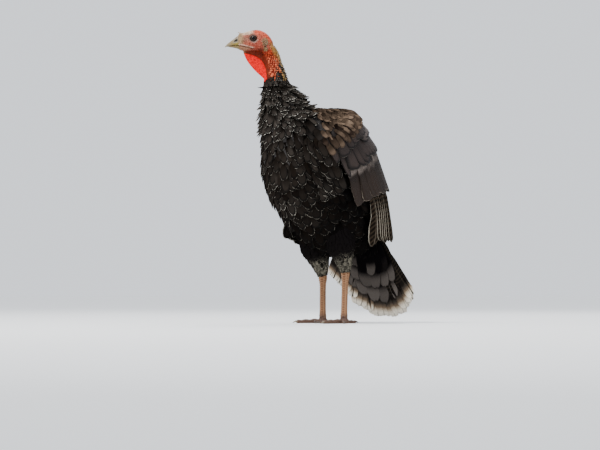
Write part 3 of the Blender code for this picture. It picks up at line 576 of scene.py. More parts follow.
def vane_place(lies, reach, half):
    """Points and normals of the surface under all points of the vanes, and distances from their shafts."""
    surface = lies["surface"]
    length = each(lies, "length")
    forward = reach * length
    sideways = half * each(lies, "width") + each(lies, "sweep") * reach ** 2 * length
    turn = each(lies, "turn")
    down = forward * np.cos(turn) - sideways * np.sin(turn)
    across = forward * np.sin(turn) + sideways * np.cos(turn)
    u_step = read_surface(surface, "u_step", lies["u"], lies["v"]).reshape(-1, 1, 1)
    u = each(lies, "u") + lies["down"] * down / u_step
    v_step = read_surface(surface, "v_step", u, np.broadcast_to(each(lies, "v"), u.shape))
    v = each(lies, "v") + across / np.maximum(v_step, 1e-5)
    return read_surface(surface, "points", u, v), read_surface(surface, "normals", u, v), sideways


def vane_height(lies, reach, half, sideways):
    """How high all points of the vanes stand over the surface."""
    length, width = each(lies, "length"), each(lies, "width")
    height = each(lies, "height") + each(lies, "lift") * length * reach ** each(lies, "bend", 1.0)
    height = height - each(lies, "curl") * length * reach ** 3
    height = height + each(lies, "roll") * sideways
    height = height - each(lies, "camber") * width * half ** 2
    return height + each(lies, "wave") * np.sin(reach * WAVES + each(lies, "phase")) * width * np.abs(half)


def vane_vertices(lies, kind, reach, half, shared):
    """All corners: each vane's upper face, then the inside of its lower one. Both share their rim."""
    points, normals, sideways = vane_place(lies, reach, half)
    height = vane_height(lies, reach, half, sideways)
    half_thick = each(lies, "thick", VANE_THICKNESS) / 2
    ridge = np.zeros(kind["columns"])
    ridge[kind["columns"] // 2] = 1.0
    quill = each(lies, "quill") * (1 - 0.75 * reach) * ridge[None, None, :]
    top = points + normals * (height + half_thick + quill)[..., None]
    under = points + normals * (height - half_thick - quill * 0.6)[..., None]
    rim = (top + under) / 2
    top[:, shared] = rim[:, shared]
    return np.concatenate([top.reshape(len(top), -1, 3), under[:, ~shared]], axis=1), normals[0, 0, 0]


def vane_quads(shared):
    """The faces of one vane, by the numbers of its corners."""
    rows, columns = shared.shape
    upper = np.arange(rows * columns).reshape(rows, columns)
    lower = upper.copy()
    lower[~shared] = rows * columns + np.arange(np.count_nonzero(~shared))
    quads = []
    for i in range(rows - 1):
        for j in range(columns - 1):
            quads.append((upper[i, j], upper[i, j + 1], upper[i + 1, j + 1], upper[i + 1, j]))
            quads.append((lower[i, j], lower[i + 1, j], lower[i + 1, j + 1], lower[i, j + 1]))
    return np.array(quads)


def mesh_of_quads(name, vertices, faces):
    mesh = bpy.data.meshes.new(name)
    mesh.vertices.add(len(vertices))
    mesh.vertices.foreach_set("co", (vertices + np.array(OFFSET)).astype(np.float32).ravel())
    mesh.loops.add(len(faces) * 4)
    mesh.loops.foreach_set("vertex_index", faces.astype(np.int32).ravel())
    mesh.polygons.add(len(faces))
    mesh.polygons.foreach_set("loop_start", (np.arange(len(faces)) * 4).astype(np.int32))
    mesh.polygons.foreach_set("use_smooth", np.ones(len(faces), bool))
    mesh.update(calc_edges=True)
    return mesh


def write_maps(mesh, lies, reach, half, shared, corners):
    """Vane map: place across and along the feather. Bake map: a small patch at the root's place."""
    local = np.stack([half * 0.5 + 0.5, reach], axis=3)
    local = np.concatenate([local.reshape(len(local), -1, 2), local[:, ~shared]], axis=1)
    bake = np.empty_like(local)
    for channel, key in ((0, "v"), (1, "u")):
        low, high = lies["surface"][key][:2]
        root = (lies[key] - low) / (high - low)
        root = root % 1.0 if key == "v" else np.clip(root, 0, 1)
        bake[..., channel] = MAP_MARGIN + MAP_SPAN * root[:, None] + local[..., channel] * MAP_PATCH
    for map_name, values in (("Vane", local), ("OFBake", bake)):
        layer = mesh.uv_layers.new(name=map_name)
        layer.data.foreach_set("uv", values.reshape(-1, 2)[corners].astype(np.float32).ravel())


def build_feathers(name, lies, kind):
    """Many feathers as one mesh. lies gives each one's surface place, size, lie and plumage values."""
    reach, half = vane_shape(lies, kind)
    shared = np.ones(reach.shape[1:], bool)
    shared[1:-1, 1:-1] = False
    vertices, outwards = vane_vertices(lies, kind, reach, half, shared)
    count, corners_each = vertices.shape[:2]
    quads = vane_quads(shared)
    a, b, c = (vertices[0, corner] for corner in quads[0][:3])
    if np.dot(np.cross(b - a, c - a), outwards) < 0:
        quads = quads[:, ::-1]
    faces = (quads[None] + (np.arange(count) * corners_each)[:, None, None]).reshape(-1, 4)
    mesh = mesh_of_quads(name, vertices.reshape(-1, 3), faces)
    write_maps(mesh, lies, reach, half, shared, faces.ravel())
    plume = np.stack([each(lies, key, 0.5).ravel() for key in ("tone", "edging", "warmth")], axis=1)
    paint(mesh, "Plume", np.repeat(plume, corners_each, axis=0))
    return new_object(name, mesh)


def around(draw, middle, spread, count):
    """Random values round a middle, kept between 0 and 1."""
    return np.clip(middle + draw.normal(0, spread, count), 0, 1)


def plumage(draw, count, tone, edging, warmth):
    """Random plumage values of feathers: each is given as (middle, spread)."""
    return {"tone": around(draw, *tone, count), "edging": around(draw, *edging, count),
            "warmth": around(draw, *warmth, count)}


def staggered(count, number):
    """Marks from 0 to 1 that are shifted by half a step in every second row."""
    return (np.arange(count) + 0.5 * (number % 2)) / count


def gathered(us, vs):
    """The roots of all rows as two long lists."""
    u, v = np.concatenate(us), np.concatenate(vs)
    return u, v, len(u)


# Body coat

COAT_SHARES = (0.00, 0.12, 0.30, 0.48, 0.62, 0.75, 0.88, 1.00)
COAT_LENGTH = (0.042, 0.048, 0.046, 0.044, 0.041, 0.036, 0.030, 0.021)
COAT_WIDTH = (0.0132, 0.0142, 0.0140, 0.0130, 0.0118, 0.0102, 0.0082, 0.0064)
COAT_ROW = (0.0130, 0.0140, 0.0142, 0.0134, 0.0124, 0.0108, 0.0086, 0.0060)
COAT_DEPTH = 0.0035
NECK_SLIM = 0.0085
COAT_SPACING = 1.30
RING_SAMPLES = 361
TOP_ROWS_SUNK = 0.0100
# Pieces of the coat: name, share of the trunk where it starts and ends, seed
COAT_PIECES = (
    ("coat_body_1", 0.02, 0.20, 21), ("coat_body_2", 0.20, 0.38, 22), ("coat_body_3", 0.38, 0.56, 23),
    ("coat_breast", 0.56, 0.74, 31), ("coat_neck", 0.74, 0.995, 32),
)


def neck_slim(share):
    """How much deeper the ruffled neck's coat and skin lie, so that its raised feathers don't thicken it."""
    return NECK_SLIM * smooth_step(0.54, 0.70, share) * smooth_step(1.0, 0.92, share)


def coat_rows(start, end):
    """Shares of the trunk where rows of feathers are rooted."""
    rows = []
    share = end
    while share > start:
        rows.append(share)
        step = float(np.mean([surface_step(TRUNK_SURFACE, "u_step", share, a) for a in (0.0, 1.57, 3.14)]))
        share -= float(np.interp(share, COAT_SHARES, COAT_ROW)) / step
    return rows


def coat_roots(start, end, draw):
    """Places of the coat's feathers, evenly spaced round the trunk in each row."""
    us, vs = [], []
    for number, share in enumerate(coat_rows(start, end)):
        angles = np.linspace(0, TURN, RING_SAMPLES)
        steps = read_surface(TRUNK_SURFACE, "v_step", np.full(RING_SAMPLES, share), angles)
        ring = np.concatenate([[0], np.cumsum((steps[1:] + steps[:-1]) / 2 * np.diff(angles))])
        width = float(np.interp(share, COAT_SHARES, COAT_WIDTH))
        count = max(10, int(round(ring[-1] / (width * COAT_SPACING))))
        places = np.interp(staggered(count, number) * ring[-1], ring, angles)
        vs.append(places + draw.normal(0, 0.20, count) * width / steps.mean())
        us.append(np.full(count, share) + draw.normal(0, 0.0050, count))
    u, v, count = gathered(us, vs)
    return u, v % TURN, count


def coat_lies(start, end, seed):
    draw = np.random.default_rng(seed)
    u, v, count = coat_roots(start, end, draw)
    front = bell((v - math.pi), 1.3)
    neck = smooth_step(0.60, 0.80, u)
    # Painted shade on both flanks: their feathers get a darker tone and less edging. The rear part of the
    # trunk is darker too.
    flank = bell(np.abs(v - math.pi) - 1.30, 0.75) * (1 - smooth_step(0.40, 0.60, u))
    belly_and_flank_shade = np.maximum(1 - smooth_step(0.26, 0.50, u), flank)
    size = draw.normal(1.0, 0.07, count)
    return {
        "surface": TRUNK_SURFACE, "down": -1.0, "seed": seed, "u": u, "v": v,
        "length": np.interp(u, COAT_SHARES, COAT_LENGTH) * size,
        "width": np.interp(u, COAT_SHARES, COAT_WIDTH) * size,
        "turn": draw.normal(0, 0.12, count) + neck * draw.normal(0, 0.22, count),
        "height": (-COAT_DEPTH - neck_slim(u) - TOP_ROWS_SUNK * smooth_step(0.945, 0.995, u)
                   + draw.normal(0, 0.0003, count)),
        "lift": (0.175 + neck * (0.19 - 0.10 * front + draw.normal(0, 0.13, count))
                 + draw.normal(0, 0.05, count)),
        "bend": 1.25 + 0.5 * neck, "curl": 0.03 * (1 - neck) - 0.08 * neck,
        "roll": np.where(v < math.pi, 0.05, -0.05), "camber": 0.22 + 0.38 * neck,
        "sweep": draw.normal(0, 0.06, count), "ragged": 0.05 + 0.06 * neck,
        "wave": 0.04 + 0.16 * neck, "phase": draw.uniform(0, 6, count),
        # The neck's feathers get a lighter tone and more edging: their own pale edges, made stronger as
        # painted highlight on the raised ruff.
        "tone": np.clip(0.12 + 0.42 * neck - 0.15 * belly_and_flank_shade
                        + draw.normal(0, 0.12, count) * (1 - 0.75 * belly_and_flank_shade), 0, 1),
        "edging": np.clip(0.56 + 0.40 * neck - 0.46 * belly_and_flank_shade + draw.normal(0, 0.28, count), 0.02, 1),
        "warmth": around(draw, 0.34 - 0.26 * belly_and_flank_shade, 0.08, count),
    }


def below_brink(lies):
    """The neck's feathers without those above the coat's uneven upper edge."""
    count = len(lies["u"])
    draw = np.random.default_rng(33)
    brink = 0.999 - 0.010 * bell(lies["v"] - math.pi, 0.7) + draw.normal(0, 0.003, count)
    keep = lies["u"] < brink
    chosen = {}
    for key, value in lies.items():
        chosen[key] = value[keep] if isinstance(value, np.ndarray) and len(value) == count else value
    return chosen


def make_coat():
    parts = []
    for name, start, end, seed in COAT_PIECES:
        lies = coat_lies(start, end, seed)
        if name == "coat_neck":
            lies = below_brink(lies)
        parts.append(build_feathers(name, lies, COAT))
    return parts


# Wings

FAR_RISE = 0.8
FAR_SUNK = -0.0045
BRINK = {"left": 90.0, "right": 72.0}
FLANK_ROW = 0.0135
FLANK_SPACING = 0.0125
LESSER_ROW = 0.0068
LESSER_SPACING = 0.0086
# The near wing's inner tiers, laid out like the rows of outer_tiers
INNER_TIERS = (
    ("inner_secondaries", QUILL, 6, (0.085, 0.095), (0.262, 0.235), (10.0, -24.0), (8.0, -24.0), 0.0180, 8,
     (0.0100, -0.0200), 0.0, {"roll": 0.10, "camber": 0.12, "ragged": 0.03, "quill": 0.0007}),
    ("tertials", COVERT, 7, (0.022, 0.040), (0.135, 0.150), (12.0, -24.0), (10.0, -24.0), 0.0175, 8,
     (0.0150, -0.0230), 0.6, {"lift": 0.03, "roll": 0.08, "camber": 0.20, "ragged": 0.03}),
)


def outer_tiers(side):
    """Tiers of a wing. Each row has these values:

    name, kind, seed, roots, tips, root angles and tip angles as (lower, upper), width, count, height at the
    lower end and its change along the tier, share of the far wing's sinking, and the lie of its feathers.
    """
    brink = BRINK[side]
    near = side == "left"
    return (
        ("primaries", QUILL, 0, (0.128, 0.135), (0.340, 0.368) if near else (0.285, 0.352), (76.0, 50.0),
         (86.0, 66.0), 0.0105, 7 if near else 10, (0.0015, 0.0028), None,
         {"roll": 0.16, "camber": 0.08, "ragged": 0.03, "quill": 0.0009}),
        ("secondaries", QUILL, 1, (0.095, 0.085), (0.222, 0.272), (brink - 2.0, 20.0), (brink, 12.0),
         0.0165, 15, (0.0080, 0.0010), 0.3, {"roll": 0.12, "camber": 0.10, "ragged": 0.03, "quill": 0.0007}),
        ("greater_coverts", COVERT, 2, (0.058, 0.058), (0.141, 0.150), (brink, 24.0), (brink + 3.0, 22.0),
         0.0150, 13, (0.0130, 0.0008), 0.8, {"roll": 0.10, "camber": 0.16, "ragged": 0.03}),
        ("median_coverts", COVERT, 3, (0.030, 0.030), (0.100, 0.118), (brink + 3.0, 22.0),
         (brink + 5.0, 20.0), 0.0145, 13, (0.0165, 0.0008), 1.0,
         {"roll": 0.10, "camber": 0.20, "ragged": 0.04}),
        ("scapulars", COVERT, 4, (0.050, 0.046), (0.106, 0.126), (56.0, 14.0), (60.0, 14.0), 0.0175, 8,
         (0.0125, 0.0010), 1.0, {"lift": 0.10, "roll": 0.07, "camber": 0.22, "ragged": 0.03}),
    )


def tier_lies(surface, seed, roots, tips, root_angles, tip_angles, width, count):
    """A tier of quills between two edges: roots, tips and angles are (lower, upper)."""
    draw = np.random.default_rng(seed)
    share = np.linspace(0, 1, count)
    root, tip, first, last = (a + (b - a) * share for a, b in (roots, tips, root_angles, tip_angles))
    sideways = (last - first) * read_surface(surface, "v_step", (root + tip) / 2, (first + last) / 2)
    tip = tip + draw.normal(0, 0.0030, count)
    return {
        "surface": surface, "down": 1.0, "seed": seed, "u": root, "v": first, "share": share,
        "length": np.hypot(tip - root, sideways),
        "turn": np.arctan2(sideways, tip - root) + draw.normal(0, 0.010, count),
        "width": width * draw.normal(1.0, 0.03, count), "thick": QUILL_THICKNESS,
        **plumage(draw, count, (0.5, 0.10), (0.5, 0.15), (0.5, 0.12)),
    }


def make_tier(side, tier):
    """One tier of a wing. The far wing's tiers lie flatter and deeper, apart from its primaries."""
    name, kind, seed, *edges, width, count, (height, change), sinking, lie = tier
    far = side == "right"
    lies = tier_lies(WING_SURFACE[side], seed + (60 if far else 40), *edges, width, count)
    lies.update(lie)
    lies["height"] = height + change * lies["share"]
    if far and sinking is not None:
        lies["height"] = lies["height"] * FAR_RISE + FAR_SUNK * sinking
    if far and name == "primaries":
        lies["tone"], lies["edging"] = lies["tone"] * 0.4, 0.9
    return build_feathers(name + "_" + side, lies, kind)


def make_wing(side):
    """All pieces of a wing: five outer tiers, the small coverts, and the near wing's inner tiers."""
    parts = [make_tier(side, tier) for tier in outer_tiers(side)]
    parts.append(make_lesser_coverts(side))
    if side == "left":
        parts += [make_tier(side, tier) for tier in INNER_TIERS]
    return parts


def make_lesser_coverts(side):
    """Small overlapping feathers over the wing's front."""
    surface = WING_SURFACE[side]
    far = side == "right"
    seed = 65 if far else 45
    draw = np.random.default_rng(seed)
    us, vs = [], []
    for number, down in enumerate(np.arange(-0.030, 0.050, LESSER_ROW)):
        low = float(np.interp(down, (-0.030, 0.0, 0.03), (52.0, 26.0, 12.0)))
        high = float(np.interp(down, (-0.030, 0.0, 0.03), (80.0, 94.0, 99.0))) - (16.0 if far else 0.0)
        count = int((high - low) * surface_step(surface, "v_step", down, 50.0) / LESSER_SPACING)
        vs.append(low + staggered(count, number) * (high - low) + draw.normal(0, 0.5, count))
        us.append(np.full(count, down) + draw.normal(0, 0.0012, count))
    u, v, count = gathered(us, vs)
    lies = {
        "surface": surface, "down": 1.0, "seed": seed, "u": u, "v": v,
        "length": 0.022 * draw.normal(1, 0.10, count) + 0.14 * np.clip(u, 0, 0.05),
        "width": 0.0066 * draw.normal(1, 0.08, count) + 0.05 * np.clip(u, 0, 0.05),
        "turn": draw.normal(0, 0.10, count),
        "height": (np.interp(u, (-0.030, 0.0, 0.03, 0.05), (0.002, 0.0115, 0.0182, 0.0205))
                   - (0.0078 if far else 0.0)
                   - 0.006 * smooth_step(45.0, 20.0, v) * smooth_step(0.04, 0.0, u)),
        "lift": 0.14, "bend": 1.2, "camber": 0.24, "sweep": draw.normal(0, 0.05, count),
        **plumage(draw, count, (0.42, 0.25), (0.35, 0.15), (0.8, 0.10)),
    }
    return build_feathers("lesser_coverts_" + side, lies, COAT)


def make_flank(side):
    """Dark side feathers that lap over the wing's lower edge."""
    surface = WING_SURFACE[side]
    draw = np.random.default_rng(70)
    us, vs = [], []
    for number, down in enumerate(np.arange(-0.020, 0.125, FLANK_ROW)):
        step = FLANK_SPACING / surface_step(surface, "v_step", down, 100.0)
        marks = np.arange(94.0 + 6.0 * math.sin(9.0 * down + 1.0), 120.0, step) + 0.5 * (number % 2) * step
        vs.append(marks + draw.normal(0, 0.8, len(marks)))
        us.append(np.full(len(marks), down) + draw.normal(0, 0.0022, len(marks)))
    u, v, count = gathered(us, vs)
    lies = {
        "surface": surface, "down": 1.0, "seed": 71, "u": u, "v": v,
        "length": 0.042 * draw.normal(1, 0.08, count), "width": 0.0125 * draw.normal(1, 0.07, count),
        "turn": draw.normal(0, 0.12, count),
        "height": (np.interp(u, (-0.02, 0.02, 0.13), (0.006, 0.0185, 0.0155))
                   - 0.020 * smooth_step(97.0, 119.0, v)),
        "lift": 0.10 + draw.normal(0, 0.02, count), "bend": 1.3, "curl": 0.03, "camber": 0.24,
        "ragged": 0.07, "sweep": draw.normal(0, 0.07, count),
        "wave": 0.03, "phase": draw.uniform(0, 6, count),
        **plumage(draw, count, (0.18, 0.10), (0.55, 0.30), (0.3, 0.10)),
    }
    return build_feathers("coat_flank_" + side, lies, COAT)


# Tail's tiers: name, kind, seed, count, spread, root, share of the fan's length, width, height, its step,
# roll and camber
TAIL_TIERS = (
    ("tail_quills", TAIL_QUILL, 80, 18, (-42.0, 33.0), 0.030, 1.0, 0.0240, 0.0, -0.0005, 0.05, 0.05),
    ("under_coverts_1", COVERT, 81, 7, (-33.0, 27.0), 0.020, 0.85, 0.0290, -0.0050, 0.0004, -0.06, -0.10),
    ("under_coverts_2", COVERT, 82, 6, (-30.0, 25.0), 0.015, 0.72, 0.0290, -0.0090, 0.0004, -0.06, -0.10),
    ("under_coverts_3", COVERT, 83, 6, (-31.0, 24.0), 0.010, 0.58, 0.0260, -0.0130, 0.0004, -0.06, -0.10),
    ("under_coverts_4", COVERT, 84, 7, (-32.0, 24.0), 0.000, 0.41, 0.0205, -0.0165, 0.0004, -0.06, -0.10),
    ("upper_coverts_1", COVERT, 85, 7, (-34.0, 26.0), 0.015, 0.66, 0.0235, 0.0045, -0.0004, 0.06, 0.10),
    ("upper_coverts_2", COVERT, 86, 7, (-32.0, 24.0), 0.005, 0.52, 0.0215, 0.0080, -0.0004, 0.06, 0.10),
    ("upper_coverts_3", COVERT, 87, 7, (-30.0, 22.0), -0.005, 0.39, 0.0180, 0.0115, -0.0004, 0.06, 0.10),
)


def tail_lies(seed, count, spread, root, share, width, height, step, roll, camber):
    """A fan of feathers between two angles. Their heights change by a step from the middle outwards."""
    draw = np.random.default_rng(seed)
    angle = np.linspace(spread[0], spread[1], count)
    tip = np.interp(angle, FAN_ANGLES, FAN_LENGTHS) * share * draw.normal(1.0, 0.010, count)
    return {
        "surface": TAIL_SURFACE, "down": 1.0, "seed": seed, "u": np.full(count, root), "v": angle,
        "length": tip - root, "width": width * draw.normal(1, 0.06, count),
        "height": height + step * np.abs(np.arange(count) - (count - 1) / 2),
        "roll": roll * np.sign(angle - (spread[0] + spread[1]) / 2), "turn": draw.normal(0, 0.012, count),
        "camber": camber, "thick": QUILL_THICKNESS,
        **plumage(draw, count, (0.5, 0.10), (0.5, 0.15), (0.5, 0.12)),
    }


def make_tail():
    """The tail's pieces. The short coverts have less warmth, which leaves out their grey ends."""
    parts = []
    for name, kind, *tier in TAIL_TIERS:
        lies = tail_lies(*tier)
        if kind is COVERT:
            share = tier[4]
            lies["ragged"] = 0.04
            lies["warmth"] = lies["warmth"] - 0.16 * (share < 0.6) - 0.3 * (share < 0.5)
        else:
            lies.update({"ragged": 0.26, "quill": 0.0009})
        parts.append(build_feathers(name, lies, kind))
    return parts


# Drumsticks

THIGH_SPACING = 1.25


def make_thigh_coat(side):
    surface = THIGH_SURFACE[side]
    draw = np.random.default_rng(90 if side == "left" else 95)
    us, vs = [], []
    share = 0.10
    while share < 0.985:
        ring = surface_step(surface, "v_step", share, 1.0) * 2 * math.pi
        count = max(8, int(ring / ((0.0070 - 0.0030 * share) * THIGH_SPACING)))
        vs.append(staggered(count, len(vs)) * 2 * math.pi + draw.normal(0, 0.03, count))
        us.append(np.full(count, share) + draw.normal(0, 0.006, count))
        share += (0.0075 - 0.0030 * share) / surface_step(surface, "u_step", share, 1.0)
    u, v, count = gathered(us, vs)
    lies = {
        "surface": surface, "down": 1.0, "seed": 91, "u": u, "v": v,
        "length": ((0.024 - 0.010 * u) * draw.normal(1, 0.08, count)
                   * (1 + 0.9 * smooth_step(0.82, 0.96, u) * draw.random(count))),
        "width": (0.0070 - 0.0030 * u) * draw.normal(1, 0.06, count),
        "turn": draw.normal(0, 0.12, count), "height": -0.0025 + draw.normal(0, 0.0003, count),
        "lift": 0.15 + draw.normal(0, 0.03, count), "bend": 1.3, "curl": 0.03, "camber": 0.25,
        "ragged": 0.10, "sweep": draw.normal(0, 0.08, count),
        "phase": draw.uniform(0, 6, count), "wave": 0.04,
        "tone": around(draw, 0.30, 0.42, count),
        "edging": around(draw, 0.40, 0.3, count) * smooth_step(0.28, 0.55, u),
        "warmth": around(draw, u, 0.03, count),
    }
    return build_feathers("coat_thigh_" + side, lies, NECK)


# Materials

class Sheet:
    """A node tree with short calls for the nodes that the materials share."""

    def __init__(self, tree):
        self.nodes = tree.nodes
        self.links = tree.links

    def feed(self, socket, value):
        """Gives an input a number, a colour or another node's output."""
        if isinstance(value, (int, float)):
            socket.default_value = value
        elif isinstance(value, tuple):
            socket.default_value = value + (1.0,) * (len(socket.default_value) - len(value))
        else:
            self.links.new(value, socket)

    def node(self, kind, inputs=None):
        node = self.nodes.new("ShaderNode" + kind)
        self.fill(node, inputs or {})
        return node

    def fill(self, node, inputs):
        for key, value in inputs.items():
            self.feed(node.inputs[key], value)

    def math(self, operation, a, b=None, clamp=False):
        node = self.node("Math", {0: a} if b is None else {0: a, 1: b})
        node.operation = operation
        node.use_clamp = clamp
        return node.outputs[0]

    def times(self, a, b, clamp=False):
        return self.math("MULTIPLY", a, b, clamp)

    def plus(self, a, b):
        return self.math("ADD", a, b)

    def minus(self, a, b):
        return self.math("SUBTRACT", a, b)

    def span(self, value, low, high, out_low=0.0, out_high=1.0, smooth=True):
        node = self.node("MapRange", {"Value": value, "From Min": low, "From Max": high,
                                      "To Min": out_low, "To Max": out_high})
        node.interpolation_type = "SMOOTHSTEP" if smooth else "LINEAR"
        return node.outputs["Result"]

    def mix(self, factor, first, second, blend="MIX"):
        node = self.node("Mix")
        node.data_type = "RGBA"
        node.blend_type = blend
        self.fill(node, {"Factor": factor, "A": first, "B": second})
        return node.outputs["Result"]

    def shaded(self, colour, value):
        """A colour times a plain value."""
        grey = self.node("CombineColor", {"Red": value, "Green": value, "Blue": value})
        return self.mix(1.0, colour, grey.outputs[0], "MULTIPLY")

    def noise(self, vector, scale, detail, distortion=0.0):
        node = self.node("TexNoise", {"Vector": vector, "Scale": scale, "Detail": detail,
                                      "Distortion": distortion})
        return node.outputs["Fac"]

    def noisy(self, value, noise, amount):
        """A value shaken a little by noise, so that a border isn't clean."""
        return self.plus(value, self.times(self.minus(noise, 0.5), amount))

    def painted(self, layer):
        """A colour that was painted on the mesh."""
        node = self.node("VertexColor")
        node.layer_name = layer
        return node.outputs["Color"]

    def split(self, colour):
        return self.node("SeparateColor", {0: colour}).outputs

    def place(self):
        return self.node("TexCoord").outputs["Object"]

    def bump(self, height, strength, distance):
        node = self.node("Bump", {"Height": height, "Strength": strength, "Distance": distance})
        return node.outputs["Normal"]

    def ramp(self, value, stops):
        node = self.node("ValToRGB", {"Fac": value})
        first, last = node.color_ramp.elements
        for stop, (position, colour) in ((first, stops[0]), (last, stops[-1])):
            stop.position, stop.color = position, colour + (1.0,)
        for position, colour in stops[1:-1]:
            node.color_ramp.elements.new(position).color = colour + (1.0,)
        return node.outputs["Color"]


def new_material(name, inputs=None):
    """A material with its sheet and its shader."""
    material = bpy.data.materials.new(name)
    material.use_nodes = True
    sheet = Sheet(material.node_tree)
    shader = sheet.nodes["Principled BSDF"]
    sheet.fill(shader, inputs or {})
    return material, sheet, shader


def make_vane_pattern():
    """A shared group that reads the vane map: where a point is on its feather."""
    group = bpy.data.node_groups.new("vane_pattern", "ShaderNodeTree")
    for name, default in (("Tip Start", 0.6), ("Barb Count", 60.0), ("Barb Slant", 0.5)):
        socket = group.interface.new_socket(name=name, in_out="INPUT", socket_type="NodeSocketFloat")
        socket.default_value = default
    for name in ("Edge", "Along", "Shaft", "Barbs"):
        group.interface.new_socket(name=name, in_out="OUTPUT", socket_type="NodeSocketFloat")
    sheet = Sheet(group)
    entry = group.nodes.new("NodeGroupInput").outputs
    leave = group.nodes.new("NodeGroupOutput").inputs
    vane = sheet.node("UVMap")
    vane.uv_map = "Vane"
    split = sheet.node("SeparateXYZ", {0: vane.outputs["UV"]}).outputs
    side = sheet.math("ABSOLUTE", sheet.times(sheet.minus(split["X"], 0.5), 2.0))
    along = split["Y"]
    past = sheet.minus(along, entry["Tip Start"])
    ahead = sheet.math("MAXIMUM", sheet.math("DIVIDE", past, sheet.minus(1.0, entry["Tip Start"])), 0.0)
    squares = sheet.plus(sheet.math("POWER", side, 2.0), sheet.math("POWER", ahead, 2.0))
    slant = sheet.minus(along, sheet.times(side, entry["Barb Slant"]))
    turns = sheet.times(sheet.times(slant, entry["Barb Count"]), 6.2832)
    uneven = sheet.times(sheet.noise(vane.outputs["UV"], 14.0, 3.0), 3.0)
    wave = sheet.math("SINE", sheet.plus(turns, uneven))
    sheet.feed(leave["Edge"], sheet.math("SQRT", squares))
    sheet.feed(leave["Along"], along)
    sheet.feed(leave["Shaft"], sheet.span(side, 0.02, 0.09, 1.0, 0.0))
    sheet.feed(leave["Barbs"], sheet.span(wave, -1.0, 1.0, smooth=False))
    return group


def vane_material(name, pattern, tip_start, barbs, paint_function, shine=0.0):
    """A feather's finish. paint_function gives its colour from the shared pattern and the plumage values."""
    material, sheet, shader = new_material(name)
    group = sheet.node("Group")
    group.node_tree = pattern
    sheet.fill(group, {"Tip Start": tip_start, "Barb Count": barbs})
    vane = group.outputs
    plume = sheet.split(sheet.painted("Plume"))
    values = {
        "edge": vane["Edge"], "along": vane["Along"], "shaft": vane["Shaft"], "tone": plume["Red"],
        "edging": plume["Green"], "warmth": plume["Blue"], "noise": sheet.noise(sheet.place(), 420.0, 4.0),
    }
    streak = sheet.span(vane["Barbs"], 0.0, 1.0, 0.80, 1.12, smooth=False)
    sheet.fill(shader, {
        "Base Color": sheet.shaded(paint_function(sheet, values), streak),
        "Roughness": FEATHER_ROUGHNESS, "Specular IOR Level": shine,
        "Normal": sheet.bump(vane["Barbs"], 0.35, 0.0006),
    })
    return material


def tone_with_root_shade(sheet, v, dark, light):
    """A feather's own tone, darkened towards its root with painted shade where the next one covers it."""
    return sheet.shaded(sheet.mix(v["tone"], dark, light), sheet.span(v["along"], 0.25, 0.70, 0.35, 1.0))


def noisy_edge(sheet, v, amount):
    return sheet.noisy(v["edge"], v["noise"], amount)


def margined(sheet, edge, colour, low, high, amount, dark):
    """A colour with a dark margin that sets in between two places near the feather's edge."""
    return sheet.mix(sheet.times(sheet.span(edge, low, high), amount), colour, dark)


def fringed(sheet, v, edge, colour, low, high, amount, pale):
    """A colour with a pale fringe, as strong as the feather's own edging."""
    fringe = sheet.times(sheet.span(edge, low, high), v["edging"], clamp=True)
    return sheet.mix(sheet.times(fringe, amount), colour, pale)


def body_colour(sheet, v):
    """Near-black brown vanes with a thin buff-grey edge."""
    base = tone_with_root_shade(sheet, v, (0.0026, 0.0022, 0.0022), (0.052, 0.045, 0.039))
    brown = sheet.mix(sheet.times(v["warmth"], 0.5), base, (0.034, 0.024, 0.017))
    edge = noisy_edge(sheet, v, 0.12)
    colour = margined(sheet, edge, brown, 0.60, 0.78, 0.7, (0.004, 0.004, 0.004))
    reach = sheet.plus(edge, sheet.times(v["tone"], 0.06))
    pale = sheet.times(sheet.span(reach, 0.900, 0.950), v["edging"], clamp=True)
    broken = sheet.math("MAXIMUM", sheet.span(v["noise"], 0.40, 0.54, 0.08, 1.0), v["tone"])
    bright = sheet.mix(v["tone"], (0.290, 0.262, 0.212), (0.820, 0.765, 0.670))
    return sheet.mix(sheet.times(pale, broken), colour, bright)


def thigh_colour(sheet, v):
    """Black at the top, mottled olive-grey below. Warmth holds the place down the leg."""
    light = tone_with_root_shade(sheet, v, (0.016, 0.015, 0.012), (0.150, 0.136, 0.104))
    base = sheet.mix(sheet.span(v["warmth"], 0.42, 0.60), (0.006, 0.005, 0.005), light)
    return fringed(sheet, v, noisy_edge(sheet, v, 0.25), base, 0.80, 0.95, 1.0, (0.33, 0.30, 0.24))


def shoulder_colour(sheet, v):
    """Bronze-brown small coverts."""
    base = tone_with_root_shade(sheet, v, (0.014, 0.009, 0.007), (0.190, 0.130, 0.088))
    edge = noisy_edge(sheet, v, 0.2)
    colour = margined(sheet, edge, base, 0.62, 0.90, 0.65, (0.016, 0.011, 0.009))
    return fringed(sheet, v, edge, colour, 0.90, 0.96, 1.0, (0.28, 0.205, 0.145))


def mantle_colour(sheet, v):
    """Grey-purple-brown rounded feathers with a dark margin."""
    base = tone_with_root_shade(sheet, v, (0.012, 0.009, 0.008), (0.150, 0.114, 0.100))
    return margined(sheet, noisy_edge(sheet, v, 0.15), base, 0.62, 0.86, 1.0, (0.005, 0.004, 0.004))


def covert_colour(sheet, v):
    """Dark brown coverts with a faint pale fringe."""
    base = tone_with_root_shade(sheet, v, (0.005, 0.004, 0.004), (0.060, 0.042, 0.036))
    edge = noisy_edge(sheet, v, 0.15)
    colour = margined(sheet, edge, base, 0.55, 0.85, 0.9, (0.005, 0.004, 0.004))
    return fringed(sheet, v, edge, colour, 0.90, 0.97, 0.7, (0.26, 0.22, 0.18))


